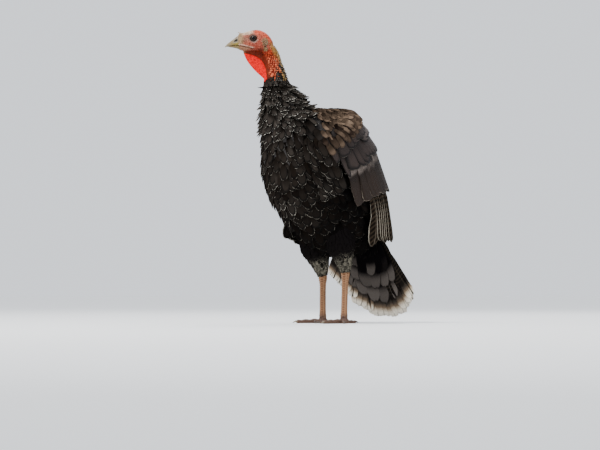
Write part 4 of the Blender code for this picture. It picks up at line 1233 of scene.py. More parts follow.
def secondary_colour(sheet, v):
    """Dark brown quills with a pale grey-brown band near their coverts and a light fringe."""
    dark = tone_with_root_shade(sheet, v, (0.004, 0.003, 0.002), (0.036, 0.022, 0.016))
    along = sheet.noisy(v["along"], v["noise"], 0.06)
    along = sheet.noisy(along, v["warmth"], 0.34)
    band = sheet.times(sheet.span(along, 0.31, 0.35), sheet.span(along, 0.39, 0.47, 1.0, 0.0))
    band = sheet.times(band, sheet.span(v["warmth"], 0.35, 0.60, 0.30, 1.0))
    band = sheet.times(band, sheet.span(v["noise"], 0.34, 0.58, 0.45, 1.0))
    colour = sheet.mix(band, dark, (0.18, 0.145, 0.125))
    return fringed(sheet, v, noisy_edge(sheet, v, 0.12), colour, 0.91, 0.97, 1.0, (0.34, 0.28, 0.22))


def primary_colour(sheet, v):
    """Barred dark and buff, with a cream edge."""
    bars = sheet.math("SINE", sheet.times(sheet.noisy(v["along"], v["noise"], 0.05), 130.0))
    colour = sheet.mix(sheet.span(bars, -0.2, 0.4), (0.005, 0.004, 0.003), (0.032, 0.023, 0.016))
    pale = sheet.times(sheet.span(noisy_edge(sheet, v, 0.06), 0.84, 0.92),
                       sheet.span(v["along"], 0.88, 0.97, 1.0, 0.12))
    colour = sheet.mix(pale, colour, (0.44, 0.39, 0.31))
    return sheet.mix(sheet.times(v["shaft"], 0.8), colour, (0.10, 0.08, 0.06))


def rectrix_colour(sheet, v):
    """Mottled tail quills: a dark band, then tan, then a ragged cream tip."""
    along = sheet.noisy(v["along"], v["noise"], 0.03)
    bars = sheet.math("SINE", sheet.times(along, 170.0))
    mottled = sheet.mix(sheet.span(bars, -0.1, 0.5), (0.007, 0.006, 0.005), (0.022, 0.017, 0.013))
    tips = sheet.ramp(along, (
        (0.00, (0.010, 0.008, 0.007)), (0.80, (0.010, 0.008, 0.007)), (0.84, (0.045, 0.036, 0.029)),
        (0.880, (0.17, 0.120, 0.080)), (0.905, (0.46, 0.370, 0.270)), (0.935, (0.78, 0.700, 0.570)),
        (1.0, (0.88, 0.82, 0.70))))
    colour = sheet.mix(sheet.span(along, 0.72, 0.79), mottled, tips)
    return sheet.mix(sheet.times(v["shaft"], 0.5), colour, (0.05, 0.038, 0.028))


def tail_covert_colour(sheet, v):
    """Black feathers that end in a broad grey-brown patch, with a dark rim at the edge that is painted shadow
    between the tiers.
    """
    along = sheet.noisy(v["along"], v["noise"], 0.06)
    patch = sheet.times(sheet.span(along, 0.74, 0.88), sheet.span(v["warmth"], 0.30, 0.40))
    grey = tone_with_root_shade(sheet, v, (0.018, 0.015, 0.014), (0.150, 0.128, 0.112))
    colour = sheet.mix(patch, (0.003, 0.0025, 0.003), grey)
    # Painted shadow: a dark rim round each covert's edge, where one tier laps over the next.
    return margined(sheet, noisy_edge(sheet, v, 0.10), colour, 0.88, 0.97, 0.75, (0.012, 0.010, 0.009))


def skin_material():
    """Bare skin: the painted flesh, mottled, with small pits and wrinkles. The pits are darkened as painted
    shade.
    """
    material, sheet, shader = new_material("bare_skin", {
        "Subsurface Weight": 0.04, "Subsurface Radius": (0.004, 0.0012, 0.0008), "Subsurface Scale": 0.4,
        "Specular IOR Level": 0.09})
    place = sheet.place()
    mottle = sheet.noise(place, 260.0, 5.0)
    colour = sheet.shaded(sheet.painted("Flesh"), sheet.span(mottle, 0.32, 0.68, 0.55, 1.30, smooth=False))
    pores = sheet.node("TexVoronoi", {"Vector": place, "Scale": 900.0})
    pit = sheet.span(pores.outputs["Distance"], 0.0, 0.6, 1.0, 0.0)
    height = sheet.plus(sheet.noise(place, 620.0, 6.0, 1.2), sheet.times(pit, -0.4))
    # The base colour darkens the pits: painted shade in the pores.
    sheet.fill(shader, {
        "Base Color": sheet.mix(sheet.times(pit, 0.16), colour, (0.20, 0.05, 0.04)),
        "Roughness": sheet.span(mottle, 0.3, 0.7, 0.38, 0.60, smooth=False),
        "Normal": sheet.bump(height, 0.55, 0.0005),
    })
    return material


def eye_material():
    material, sheet, shader = new_material("eye_gloss", {"Roughness": 0.07, "Specular IOR Level": 0.09})
    reach = sheet.split(sheet.painted("Iris"))["Red"]
    colour = sheet.ramp(reach, (
        (0.0, (0.002, 0.002, 0.003)), (0.30, (0.002, 0.002, 0.003)), (0.36, (0.018, 0.009, 0.005)),
        (0.48, (0.034, 0.017, 0.009)), (0.56, (0.010, 0.006, 0.004)), (1.0, (0.010, 0.006, 0.005))))
    sheet.feed(shader.inputs["Base Color"], colour)
    return material


def horn_material(name, rough):
    """Horn and scales: the painted colour with fine streaks."""
    material, sheet, shader = new_material(name, {"Specular IOR Level": 0.20})
    streak = sheet.noise(sheet.place(), 330.0, 5.0, 0.6)
    shade = sheet.span(streak, 0.30, 0.70, 0.78, 1.20, smooth=False)
    sheet.fill(shader, {
        "Base Color": sheet.shaded(sheet.painted("Horn"), shade),
        "Roughness": sheet.span(streak, 0.3, 0.7, rough - 0.08, rough + 0.10, smooth=False),
        "Normal": sheet.bump(streak, 0.35, 0.0003),
    })
    return material


def dress(item, material):
    item.data.materials.clear()
    item.data.materials.append(material)
    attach(item, "root")
    return item


# Head skin

def head_frame(points):
    """Forward, left and up places of points in the head's own frame."""
    away = points - np.array(OFFSET) - np.array(HEAD_CENTRE)
    return tuple((away @ np.array(axis)) / HEAD_SIZE for axis in (FORWARD, LEFT, UP))


def make_skull():
    rings = []
    for i in range(44):
        f, top, bottom, width = smooth_row(SKULL, i / 43)
        centre = head_point(f, 0.0, (top + bottom) / 2)
        rings.append(oval(centre, LEFT, UP, width, (top - bottom) / 2, 40, 0.92))
    return ring_solid("skull", rings)


def bare_point(share, angle):
    """A point of the bare neck's surface. Below its table the neck goes on down into the coat."""
    f, z, width, depth = smooth_row(BARE_NECK, share)
    z += min(share, 0.0) * BARE_NECK_DROP
    return head_point(f - depth * math.cos(angle), width * math.sin(angle), z)


def make_neck_tube():
    rings = [[bare_point(-0.12 + 1.12 * i / 39, angle) for angle in round_angles(40)] for i in range(40)]
    return ring_solid("bare_neck", rings)


def make_dewlap():
    """The fleshy sheet under the throat, thick at its root and rounded along its free edge."""
    rings = []
    for i in range(44):
        t = i / 43
        root = Vector(smooth_row([r + (0.0,) for r in DEWLAP_ROOT], t)[:2])
        edge = Vector(smooth_row([r + (0.0,) for r in DEWLAP_EDGE], t)[:2])
        wave = 0.0014 * math.sin(t * math.pi * 2.6)
        taper = 0.45 + 0.55 * math.sin(math.pi * min(max(t, 0.05), 0.95))
        ring = []
        for angle in round_angles(28):
            reach = 0.5 - 0.5 * math.cos(angle)
            thick = (0.0042 * (1 - reach) + 0.0016 * reach + 0.0014 * math.sin(math.pi * reach)) * taper
            place = root + (edge - root) * reach
            ring.append(head_point(place[0], math.sin(angle) * thick * 1.25 + wave * reach, place[1]))
        rings.append(ring)
    return ring_solid("dewlap", rings)


def make_snood():
    rings = []
    for i in range(12):
        t = i / 11
        f = SNOOD_BASE[0] - 0.003 + SNOOD_LENGTH * (0.55 * t + 0.30 * t * t)
        z = SNOOD_BASE[1] - 0.004 + SNOOD_LENGTH * (1.10 * t - 0.42 * t * t)
        radius = SNOOD_RADIUS * (1.10 - 0.55 * t) * math.sqrt(max(0.05, 1 - t ** 5))
        rings.append(oval(head_point(f, 0.0, z), LEFT, (FORWARD * -0.75 + UP * 0.66), radius, radius, 16))
    return ring_solid("snood", rings)


def line_distance(f, z, line):
    """Distance from a line in the head's profile, share of it at the nearest place, and height over it."""
    best = np.full(f.shape, 9.0)
    share = np.zeros(f.shape)
    above = np.zeros(f.shape)
    for i in range(len(line) - 1):
        a, b = np.array(line[i]), np.array(line[i + 1])
        step = b - a
        t = np.clip(((f - a[0]) * step[0] + (z - a[1]) * step[1]) / (step @ step), 0, 1)
        df, dz = f - a[0] - step[0] * t, z - a[1] - step[1] * t
        distance = np.hypot(df, dz)
        nearer = distance < best
        best = np.where(nearer, distance, best)
        share = np.where(nearer, (i + t) / (len(line) - 1), share)
        above = np.where(nearer, dz, above)
    return best, share, above


def bead_field(points, beads):
    """Height of a carpet of round beads over points: the highest bead at each point."""
    height = np.zeros(len(points))
    for seed, radius in beads:
        seed = np.array(tuple(seed + OFFSET))
        near = np.abs(points[:, 2] - seed[2]) < radius
        away = np.linalg.norm(points[near] - seed, axis=1) / radius
        dome = np.sqrt(np.clip(1 - away ** 2, 0, 1)) * radius
        height[near] = np.maximum(height[near], dome)
    return height


def neck_beads():
    """Places and sizes of the neck's caruncles: small ones in rows, larger ones low on the throat."""
    draw = np.random.default_rng(7)
    heights = [row[1] for row in BARE_NECK]
    beads = []
    for row, z in enumerate(np.arange(-0.103, -0.022, BEAD_ROW)):
        share = float(np.interp(z, heights, np.linspace(0, 1, len(BARE_NECK))))
        f, _, width, depth = smooth_row(BARE_NECK, share)
        count = int(2 * math.pi * (width + depth) / 2 / BEAD_SPACING)
        for j in range(count):
            angle = 2 * math.pi * (j + 0.5 * (row % 2)) / count + draw.normal(0, 0.04)
            size = NECK_BEAD * draw.uniform(0.78, 1.15)
            level = z + draw.normal(0, 0.0005)
            beads.append((head_point(f - depth * math.cos(angle), width * math.sin(angle), level), size))
    for j in range(9):
        angle = math.radians(180 - 75 + 150 * j / 8)
        beads.append((bare_point(0.16 + 0.07 * (j % 2), angle), THROAT_BEAD * draw.uniform(0.8, 1.15)))
    return beads


def cheek_beads():
    """Low papillae on the back of the head and the cheek."""
    draw = np.random.default_rng(17)
    beads = []
    for f in np.arange(-0.047, 0.030, CHEEK_GRID):
        for z in np.arange(-0.034, 0.016, CHEEK_GRID):
            place_f, place_z = f + draw.normal(0, 0.0007), z + draw.normal(0, 0.0007)
            width = skull_width(place_f, place_z)
            for side in (1, -1):
                size = CHEEK_BEAD * draw.uniform(0.6, 1.2)
                beads.append((head_point(place_f, side * width, place_z), size))
    return beads


def ear_patch(f, z):
    """The irregular grey patch of the ear: a large upper part and a small lower one."""
    wobble = 0.0009 * np.sin(f * 900 + z * 300) + 0.0007 * np.sin(z * 1100 - f * 500)
    upper = np.hypot((f - EAR_PLACE[0] - 0.0010), (z - EAR_PLACE[1] - 0.0010) * 0.70) + wobble
    lower = np.hypot((f - EAR_SLIT[0] - 0.0005), (z - EAR_SLIT[1] + 0.0058) * 0.75) + wobble
    return np.maximum(smooth_step(0.0084, 0.0062, upper), smooth_step(0.0062, 0.0042, lower))


def head_masks(points):
    """Places and zones of the head's skin, for its folds and its colours."""
    f, s, z = head_frame(points)
    root_f = table_value(z, DEWLAP_ROOT, 0, 1)
    mouth, share, above = line_distance(f, z, MOUTH_LINE)
    return {
        "f": f, "s": s, "z": z, "mouth": mouth, "above": above, "fade": smooth_step(1.0, 0.80, share),
        "neck": smooth_step(-0.028, -0.044, z + 0.35 * (f + 0.02)) * smooth_step(-0.005, -0.014, f),
        "sheet": smooth_step(-0.004, 0.006, f - root_f) * smooth_step(-0.0295, -0.0335, z),
        "beads": bead_field(points, neck_beads()), "low": bead_field(points, cheek_beads()),
        "ear": np.hypot((f - EAR_SLIT[0]) * 0.55, z - EAR_SLIT[1] + 0.35 * (f - EAR_SLIT[0])),
        "patch": ear_patch(f, z), "eye": np.hypot((f - EYE_PLACE[0]) * 0.94, z - EYE_PLACE[1]),
    }


def sculpt_head(item):
    """Folds, groove of the mouth, ear, eye hollow and caruncles, worked into the smooth skin."""
    mesh = item.data
    points = read_vectors(mesh)
    m = head_masks(points)
    f, s, z, away, above, fade = (m[key] for key in ("f", "s", "z", "mouth", "above", "fade"))
    lift = 0.85 * m["beads"] * m["neck"] * (1 - m["sheet"])
    calm = bell(np.hypot(f, z), 0.0100)
    lift += (0.28 * m["low"] * (1 - m["neck"]) * (1 - calm) * (1 - m["sheet"])
             * smooth_step(0.034, 0.020, f))
    lift -= 0.0014 * bell(away, 0.0008) * fade
    lift += 0.0011 * bell(above - 0.0026, 0.0013) * bell(away - 0.0026, 0.0030) * fade
    lift += 0.0006 * bell(above + 0.0020, 0.0011) * bell(away - 0.0020, 0.0030) * fade
    lift += (0.0009 * m["patch"] * (0.6 + 0.8 * m["low"] / CHEEK_BEAD)
             - 0.0030 * smooth_step(0.0021, 0.0009, m["ear"]))
    lift += (0.0006 * bell(m["eye"] - 0.0104, 0.0012)
             + 0.0005 * bell(m["eye"] - 0.0132, 0.0011) * smooth_step(0.002, -0.008, z))
    lift += 0.0009 * bell(np.hypot(f - 0.002, (z - 0.0100) * 1.8), 0.0085)
    lift -= 0.0008 * bell(np.hypot((f - 0.016) * 0.8, z + 0.002), 0.0060)
    lift += 0.0007 * bell(np.hypot((f - 0.010) * 0.7, z + 0.0175), 0.0055)
    points = points + read_vectors(mesh, "normal") * lift[:, None]
    # The hollow that the eyeball sits in
    hollow = smooth_step(0.0085, 0.0077, m["eye"]) * (np.abs(s) > 0.010)
    points = points - np.array(LEFT)[None] * (np.sign(s) * hollow * EYE_HOLLOW)[:, None]
    write_points(mesh, points)
    return m


def head_colours(m):
    """Zones of colour over the face, each laid over the ones before, with a painted shadow under the chin."""
    f, z = m["f"], m["z"]
    crown = smooth_step(-0.001, 0.012, z + 0.10 * f) * smooth_step(0.012, -0.004, f)
    back = smooth_step(-0.018, -0.032, f) * smooth_step(-0.024, -0.010, z)
    lore = bell(np.hypot((f - 0.022) * 0.8, (z + 0.004)), 0.010)
    cheek = bell(np.hypot((f + 0.006), (z + 0.018)), 0.012)
    ridge = bell(m["above"] - 0.0028, 0.0017) * bell(m["mouth"] - 0.0026, 0.0034) * m["fade"]
    # Painted shadow under the chin: the underside of the head behind the bill is darkened to dark red.
    jaw_shadow = smooth_step(-0.0270, -0.0325, z + 0.10 * (f - 0.01)) * smooth_step(0.030, 0.022, f)
    gape = smooth_step(0.002, 0.014, f) * smooth_step(-0.0195, -0.0225, z) * (1 - jaw_shadow)
    neck_red = smooth_step(-0.026, -0.036, z + 0.2 * (f + 0.03))
    return layered(plain_colours((0.400, 0.090, 0.058), len(f)), (
        ((0.62, 0.100, 0.055), np.maximum(crown, back * 0.9)),
        ((0.74, 0.56, 0.41), smooth_step(0.003, 0.010, z) * smooth_step(-0.006, 0.010, f)),
        ((0.260, 0.135, 0.092), lore * 0.85),
        ((0.34, 0.225, 0.125), smooth_step(0.020, 0.031, f) * smooth_step(-0.024, -0.016, z)),
        ((0.36, 0.060, 0.040), cheek * 0.6),
        ((0.56, 0.340, 0.260), ridge * 1.3),
        ((0.150, 0.018, 0.008), jaw_shadow),
        ((0.340, 0.205, 0.125), gape * 0.75),
        ((0.185, 0.015, 0.007), neck_red * (1 - m["sheet"])),
    ))


def neck_colours(m, colour):
    """The neck's red caruncles with ochre between them, and the dewlap, whose part above the red edge is
    painted in shadow under the chin.
    """
    f, z, count = m["f"], m["z"], len(m["f"])
    bead = np.clip(m["beads"] / BEAD_HEIGHT, 0, 1) ** 2.5
    behind = f - table_value(z, BARE_NECK[::-1], 0, 1)
    toward_nape = smooth_step(-0.011, -0.020, behind)
    tip = layered(plain_colours((0.72, 0.180, 0.095), count), (
        ((0.42, 0.060, 0.024), smooth_step(-0.060, -0.040, z)),
        ((0.44, 0.290, 0.120), toward_nape),
    ))
    between = lerp(colour, (0.150, 0.095, 0.030), toward_nape * m["neck"] * 0.9)
    mixed = between + (tip - between) * (bead * m["neck"])[:, None]
    sheet = m["sheet"][:, None]
    colour = mixed * (1 - sheet) + colour * sheet
    upper_nape = (smooth_step(-0.003, -0.012, behind) * smooth_step(-0.005, -0.018, z)
                  * smooth_step(-0.06, -0.03, z))
    colour = lerp(colour, (0.34, 0.190, 0.050), upper_nape * 0.80)
    edge = np.interp(f, [row[0] for row in RED_EDGE], [row[1] for row in RED_EDGE])
    # Above the red edge the dewlap is painted dark as shadow under the chin; its front part is painted tan
    # like the bill's underside.
    throat_shade = 1 - smooth_step(0.0020, -0.0022, z - edge)
    sheet_colour = layered(plain_colours((0.90, 0.022, 0.006), count), (
        ((0.150, 0.020, 0.009), throat_shade),
        ((0.300, 0.160, 0.085), smooth_step(0.016, 0.026, f) * throat_shade),
    ))
    return colour * (1 - sheet) + sheet_colour * sheet


def detail_colours(m, colour):
    """Ear, lids, mouth, blotches and the snood, with painted shade in the ear opening and along the mouth's
    crease.
    """
    f, z = m["f"], m["z"]
    lids = bell(m["eye"] - 0.0094, 0.0014)
    low_lid = smooth_step(0.002, -0.006, z - EYE_PLACE[1])
    rear = smooth_step(0.006, -0.004, f)
    front = (smooth_step(0.0150, 0.0100, m["eye"]) * smooth_step(-0.003, 0.005, f)
             * smooth_step(-0.009, 0.000, z))
    wart = np.clip(m["low"] / CHEEK_BEAD, 0, 1) ** 2 * (1 - m["neck"]) * (1 - m["sheet"])
    blotch = np.sin(f * 640 + 2.0 * np.sin(z * 410)) * np.sin(z * 730 + 1.7 * np.sin(f * 520 + 1.0))
    bare = (1 - m["neck"]) * (1 - m["sheet"]) * smooth_step(0.024, 0.014, f)
    snood = smooth_step(0.0090, 0.0120, z) * smooth_step(0.028, 0.0315, f)
    return layered(colour, (
        ((0.185, 0.140, 0.070), m["patch"] * 0.9),
        # Painted shade in the ear opening: a dark slit.
        ((0.030, 0.013, 0.008), smooth_step(0.0022, 0.0010, m["ear"])),
        ((0.150, 0.085, 0.060), lids * 0.8 * (1 - low_lid)),
        ((0.380, 0.290, 0.240), lids * low_lid * (0.25 + 0.75 * rear)),
        ((0.130, 0.065, 0.042), front * 0.75),
        # Painted shade along the crease of the mouth: a dark line.
        ((0.060, 0.030, 0.018), bell(m["mouth"], 0.0009) * m["fade"]),
        ((0.150, 0.036, 0.018), smooth_step(0.15, 0.80, blotch) * bare * 0.60),
        ((0.640, 0.330, 0.250), np.maximum(smooth_step(0.35, 0.95, -blotch) * 0.30, wart * 0.45) * bare),
        ((0.62, 0.54, 0.45), snood),
        ((0.10, 0.075, 0.06), snood * smooth_step(0.0150, 0.0180, z)),
    ))


def paint_head(item, m):
    """All colours of the bare skin, a little more vivid and darker than their tables."""
    colour = detail_colours(m, neck_colours(m, head_colours(m)))
    grey = colour.mean(axis=1, keepdims=True)
    paint(item.data, "Flesh", np.clip((grey + (colour - grey) * FLESH_VIVID) * FLESH_SHADE, 0.0, 1.0))


def make_head_skin():
    parts = [make_skull(), make_neck_tube(), make_dewlap(), make_snood()]
    item = melt_together(join(parts, "skin_head"), HEAD_VOXEL, 3)
    paint_head(item, sculpt_head(item))
    shade_smooth(item)
    return item


# Eyes and lids

def side_name(side):
    return "left" if side > 0 else "right"


def make_eye(side):
    """A glossy ball with a slightly raised front."""
    bpy.ops.object.select_all(action="DESELECT")
    bpy.ops.mesh.primitive_uv_sphere_add(segments=48, ring_count=28, radius=BALL_RADIUS, location=(0, 0, 0))
    item = bpy.context.active_object
    item.name = "eyeball_" + side_name(side)
    for vertex in item.data.vertices:
        front = max(0.0, vertex.co.z / BALL_RADIUS - 0.55) / 0.45
        vertex.co.z += BALL_BULGE * front * front
        vertex.co.z *= 0.97
    reach = [math.hypot(v.co.x, v.co.y) if v.co.z > 0 else 0.02 for v in item.data.vertices]
    turn = (LEFT * side).to_track_quat("Z", "Y").to_matrix().to_4x4()
    item.data.transform(Matrix.Translation(eye_centre(side) + OFFSET) @ turn)
    paint(item.data, "Iris", np.array([[r / 0.01, 0, 0] for r in reach]))
    shade_smooth(item)
    return item


def make_lids(side):
    """A soft rim of skin round the eye, a little pointed in front and behind."""
    centre = eye_centre(side)
    outward = LEFT * side
    points, faces, colours = [], [], []
    columns, sides = 72, 12
    for i, angle in enumerate(round_angles(columns)):
        point_f, point_z = math.cos(angle), math.sin(angle)
        corner = abs(point_f) ** 6
        radius = LID_OPENING * (1.0 - 0.05 * abs(point_z) + 0.12 * corner)
        ball = math.sqrt(max(BALL_RADIUS ** 2 - min(radius, 0.0084) ** 2, 1e-8))
        ray = FORWARD * point_f + UP * point_z
        thick = 0.00060 * (1.0 + (0.25 if point_z > 0 else 0.0)) * (1.0 - 0.3 * corner)
        fold = 0.00010 * math.sin(i * 2.1) + 0.00006 * math.sin(i * 5.3)
        pale = (0.5 - 0.5 * point_z) * (0.6 - 0.4 * point_f)
        outer = (0.14 + 0.22 * pale, 0.085 + 0.20 * pale, 0.07 + 0.18 * pale)
        for j, turn in enumerate(round_angles(sides)):
            reach = radius + thick * 0.4 + thick * 1.35 * math.cos(turn)
            rise = ball + 0.00035 + thick * math.sin(turn) - 0.55 * (reach - radius)
            points.append(tuple(centre + ray * (reach + fold) + outward * rise + OFFSET))
            colours.append((0.03, 0.018, 0.014) if math.cos(turn) < -0.2 else outer)
            here, after = i * sides, ((i + 1) % columns) * sides
            k = (j + 1) % sides
            faces.append((here + j, here + k, after + k, after + j))
    mesh = closed_mesh("lids", points, faces)
    paint(mesh, "Flesh", np.array(colours))
    item = new_object("lids_" + side_name(side), mesh)
    shade_smooth(item)
    return item


# Bill

def nostril_place(f, z):
    """Places along and over the nostril's slit."""
    slit_f, slit_z = f - NOSTRIL_PLACE[0], z - NOSTRIL_PLACE[1]
    c, s = NOSTRIL_SLOPE
    return slit_f * c - slit_z * s, slit_f * s + slit_z * c


def with_nostril(f, s, z):
    """A point of the upper bill, sunk into the nostril or raised round it."""
    along, over = nostril_place(f, z)
    hole = math.exp(-(along / 0.0042) ** 4 - (over / 0.0019) ** 2)
    rim = math.exp(-((math.hypot(along / 1.6, over) - 0.0020) / 0.0008) ** 2)
    sink = (0.0022 * hole - 0.0006 * rim) * (1 if abs(s) > 0.002 else 0)
    return head_point(f, s - math.copysign(sink, s), z)


def make_bill_upper():
    rings = []
    marks = [0.5 - 0.5 * math.cos(math.pi * i / 47) if i > 24 else i / 47 for i in range(48)]
    for t in sorted(marks):
        f, top, mouth, _, width = smooth_row(BILL, t)
        ring = []
        for angle in round_angles(44):
            up, out = math.cos(angle), math.sin(angle)
            if up >= -0.15:
                lift = max(up, 0.0) ** 0.82
                place_z = mouth + 0.0005 + (top - mouth - 0.0005) * lift
                place_s = width * full_curve(out, 0.80) * (1.0 - 0.10 * lift)
            else:
                place_z = mouth + 0.0005 - 0.0003 * (1 - abs(out))
                place_s = width * out * 1.02
            ring.append(with_nostril(f, place_s, place_z))
        rings.append(ring)
    return ring_solid("bill_top", rings)


def make_bill_lower():
    rings = []
    last = (LOWER_BILL_END - BILL[0][0]) / (BILL[-1][0] - BILL[0][0])
    for i in range(32):
        f, _, mouth, bottom, width = smooth_row(BILL, i / 31 * last)
        width *= 0.86 * math.sqrt(max(0.06, 1 - (i / 31) ** 6))
        deep = (mouth - bottom) * math.sqrt(max(0.15, 1 - (i / 31) ** 6))
        ring = []
        for angle in round_angles(36):
            down, out = math.cos(angle), math.sin(angle)
            if down >= 0:
                ring.append(head_point(f, width * full_curve(out, 0.85), mouth - 0.0003 - deep * down ** 0.9))
            else:
                ring.append(head_point(f, width * out, mouth - 0.0003 - 0.0008 * (1 - out * out)))
        rings.append(ring)
    return ring_solid("bill_under", rings)


def paint_bill(item):
    f, s, z = head_frame(read_vectors(item.data))
    along, over = nostril_place(f, z)
    hole = np.exp(-(along / 0.0052) ** 4 - (over / 0.0026) ** 2)
    rim = bell(np.hypot(along / 1.6, over) - 0.0042, 0.0009)
    off_ridge = np.abs(s) > 0.002
    colour = layered(plain_colours((0.300, 0.205, 0.085), len(f)), (
        ((0.240, 0.165, 0.095), smooth_step(0.052, 0.040, f) * smooth_step(-0.014, -0.006, z)),
        ((0.350, 0.235, 0.135), smooth_step(0.041, 0.035, f) * smooth_step(-0.016, -0.010, z)),
        ((0.340, 0.250, 0.030), bell((z + 0.0150) / 0.0040, 1.0) * bell((f - 0.040) / 0.010, 1.0)),
        ((0.340, 0.280, 0.180), smooth_step(0.052, 0.066, f)),
        ((0.240, 0.200, 0.150), bell(s, 0.0022) * smooth_step(-0.02, -0.004, z) * 0.6),
        ((0.46, 0.40, 0.31), rim * 0.8 * off_ridge),
        # Painted shade in the nostril's hollow: near black inside.
        ((0.008, 0.006, 0.004), hole * 1.6 * off_ridge),
    ))
    paint(item.data, "Horn", np.clip(colour * HORN_SHADE, 0, 1))


# Small feathers and bristles round the bare skin

def make_nape_feathers():
    """Narrow feathers that climb the back of the bare neck and end in a ragged edge."""
    surface = make_surface(bare_point, (-0.16, 1.0, 71), (0.0, TURN, 65))
    draw = np.random.default_rng(51)
    us, vs = [], []
    for number, share in enumerate(np.arange(-0.15, 0.66, 0.055)):
        reach = float(np.interp(share, (0.0, 0.12, 0.30, 0.66), (3.14, 2.1, 1.35, 0.55)))
        count = max(3, int(2 * reach / 0.27))
        vs.append(np.linspace(-reach, reach, count) + 0.13 * (number % 2) + draw.normal(0, 0.06, count))
        us.append(np.full(count, share) + draw.normal(0, 0.014, count))
    u, v, count = gathered(us, vs)
    lies = {
        "surface": surface, "down": -1.0, "seed": 52, "u": np.clip(u, -0.16, 1), "v": v % TURN,
        "length": (0.0285 - 0.026 * u) * draw.normal(1, 0.12, count),
        "width": (0.0062 - 0.0055 * u) * draw.normal(1, 0.10, count),
        "turn": draw.normal(0, 0.16, count), "height": 0.0002,
        "lift": 0.36 - 0.25 * u + draw.normal(0, 0.09, count), "bend": 1.9, "camber": 0.4,
        "ragged": 0.12, "sweep": draw.normal(0, 0.10, count), "thick": 0.0002,
        "tone": around(draw, 0.45, 0.15, count),
        "edging": around(draw, 0.50, 0.2, count), "warmth": 0.4,
    }
    return build_feathers("coat_nape", lies, NECK)


class Bristles:
    """Short stiff hairs, each a bent three-sided spike, gathered in one mesh."""

    def __init__(self):
        self.points, self.faces, self.colours = [], [], []

    def add(self, root, direction, length, thick, tone, tint):
        first = direction.cross(UP)
        if first.length < 0.01:
            first = direction.cross(X_AXIS)
        first.normalize()
        second = direction.cross(first).normalized()
        start = len(self.points)
        droop = UP * (-0.25 * length)
        for t, size in ((0.0, 1.0), (0.5, 0.75)):
            centre = root + direction * (length * t) + droop * (t * t)
            for turn in round_angles(3):
                beside = first * math.cos(turn) + second * math.sin(turn)
                self.points.append(tuple(centre + beside * (thick * size) + OFFSET))
        self.points.append(tuple(root + direction * length + droop + OFFSET))
        for k in range(3):
            n = (k + 1) % 3
            self.faces.append((start + k, start + n, start + 3 + n, start + 3 + k))
            self.faces.append((start + 3 + k, start + 3 + n, start + 6))
        self.faces.append((start + 2, start + 1, start))
        self.colours.extend([(tone, tone * tint[0], tone * tint[1])] * 7)

    def on_nape(self, draw):
        share = draw.uniform(0.30, 1.0)
        angle = draw.normal(0, 0.55)
        outward = (FORWARD * -math.cos(angle) + LEFT * math.sin(angle)).normalized()
        direction = (outward * 0.8 - UP * 0.75 + LEFT * draw.normal(0, 0.2)).normalized()
        tone = draw.uniform(0.12, 0.40)
        length = draw.uniform(0.004, 0.0085)
        self.add(bare_point(share, angle), direction, length, 0.00018, tone, (0.78, 0.48))

    def on_head(self, draw):
        f, z = draw.uniform(-0.045, 0.004), draw.uniform(-0.020, 0.018)
        side = draw.choice((-1, 1))
        width = skull_width(f, z)
        if width < 0.003 or math.hypot(f, z) < 0.011:
            return
        outward = (LEFT * side * 0.8 + UP * (z / 0.02) + FORWARD * (f / 0.04)).normalized()
        direction = (outward * 0.5 - FORWARD * 0.8 - UP * 0.1).normalized()
        root = head_point(f, side * width * 0.98, z)
        self.add(root, direction, draw.uniform(0.0016, 0.0032), 0.00010, 0.10, (0.7, 0.5))

    def on_ears(self, draw):
        for side in (1, -1):
            f = EAR_PLACE[0] + 0.0062 * draw.normal(0, 0.5)
            z = EAR_PLACE[1] + 0.0070 * draw.normal(0, 0.5)
            root = head_point(f, side * (skull_width(f, z) - 0.0002), z)
            direction = (LEFT * side * 0.45 - FORWARD * 0.8 - UP * 0.35).normalized()
            tone = draw.uniform(0.16, 0.42)
            self.add(root, direction, draw.uniform(0.002, 0.0042), 0.00016, tone, (0.86, 0.60))


def make_bristles():
    """Hairs on the nape, the back of the head and round the ears."""
    draw = np.random.default_rng(53)
    hairs = Bristles()
    for count, place in ((360, hairs.on_nape), (420, hairs.on_head), (230, hairs.on_ears)):
        for _ in range(count):
            place(draw)
    mesh = closed_mesh("bristles", hairs.points, hairs.faces)
    paint(mesh, "Horn", np.array(hairs.colours))
    return new_object("bristles", mesh)


# Scaly legs, feet and claws

SCALE_ACROSS = 0.0072
SCALE_ALONG = 0.0056
PEBBLE = 0.0024
LEG_VOXEL = 0.00062
RING_ANGLES = np.linspace(0, TURN, 25)[:-1]


def shank_frame(side):
    leg = LEG_POINTS[side]
    hock, foot = Vector(leg["hock"]), Vector(leg["foot"])
    along = (foot - hock).normalized()
    return hock, along, *cross_frame(along), (foot - hock).length


def toe_frame(side, toe):
    leg = LEG_POINTS[side]
    outer = 1 if side == "left" else -1
    angle = math.radians(leg["heading"] + outer * TOES[toe][0])
    along = Vector((math.sin(angle), -math.cos(angle), 0.0))
    return Vector((leg["foot"][0], leg["foot"][1], 0.0)), along, Vector((along.y, -along.x, 0.0))


def floor_ring(centre, across, radius, sides):
    """An upright ring of points that is cut off flat at the floor."""
    points = []
    for j in range(sides):
        angle = 2 * math.pi * (j + 0.5) / sides
        point = centre + across * (math.sin(angle) * radius)
        point.z = max(0.0, centre.z + math.cos(angle) * radius)
        points.append(point)
    return points


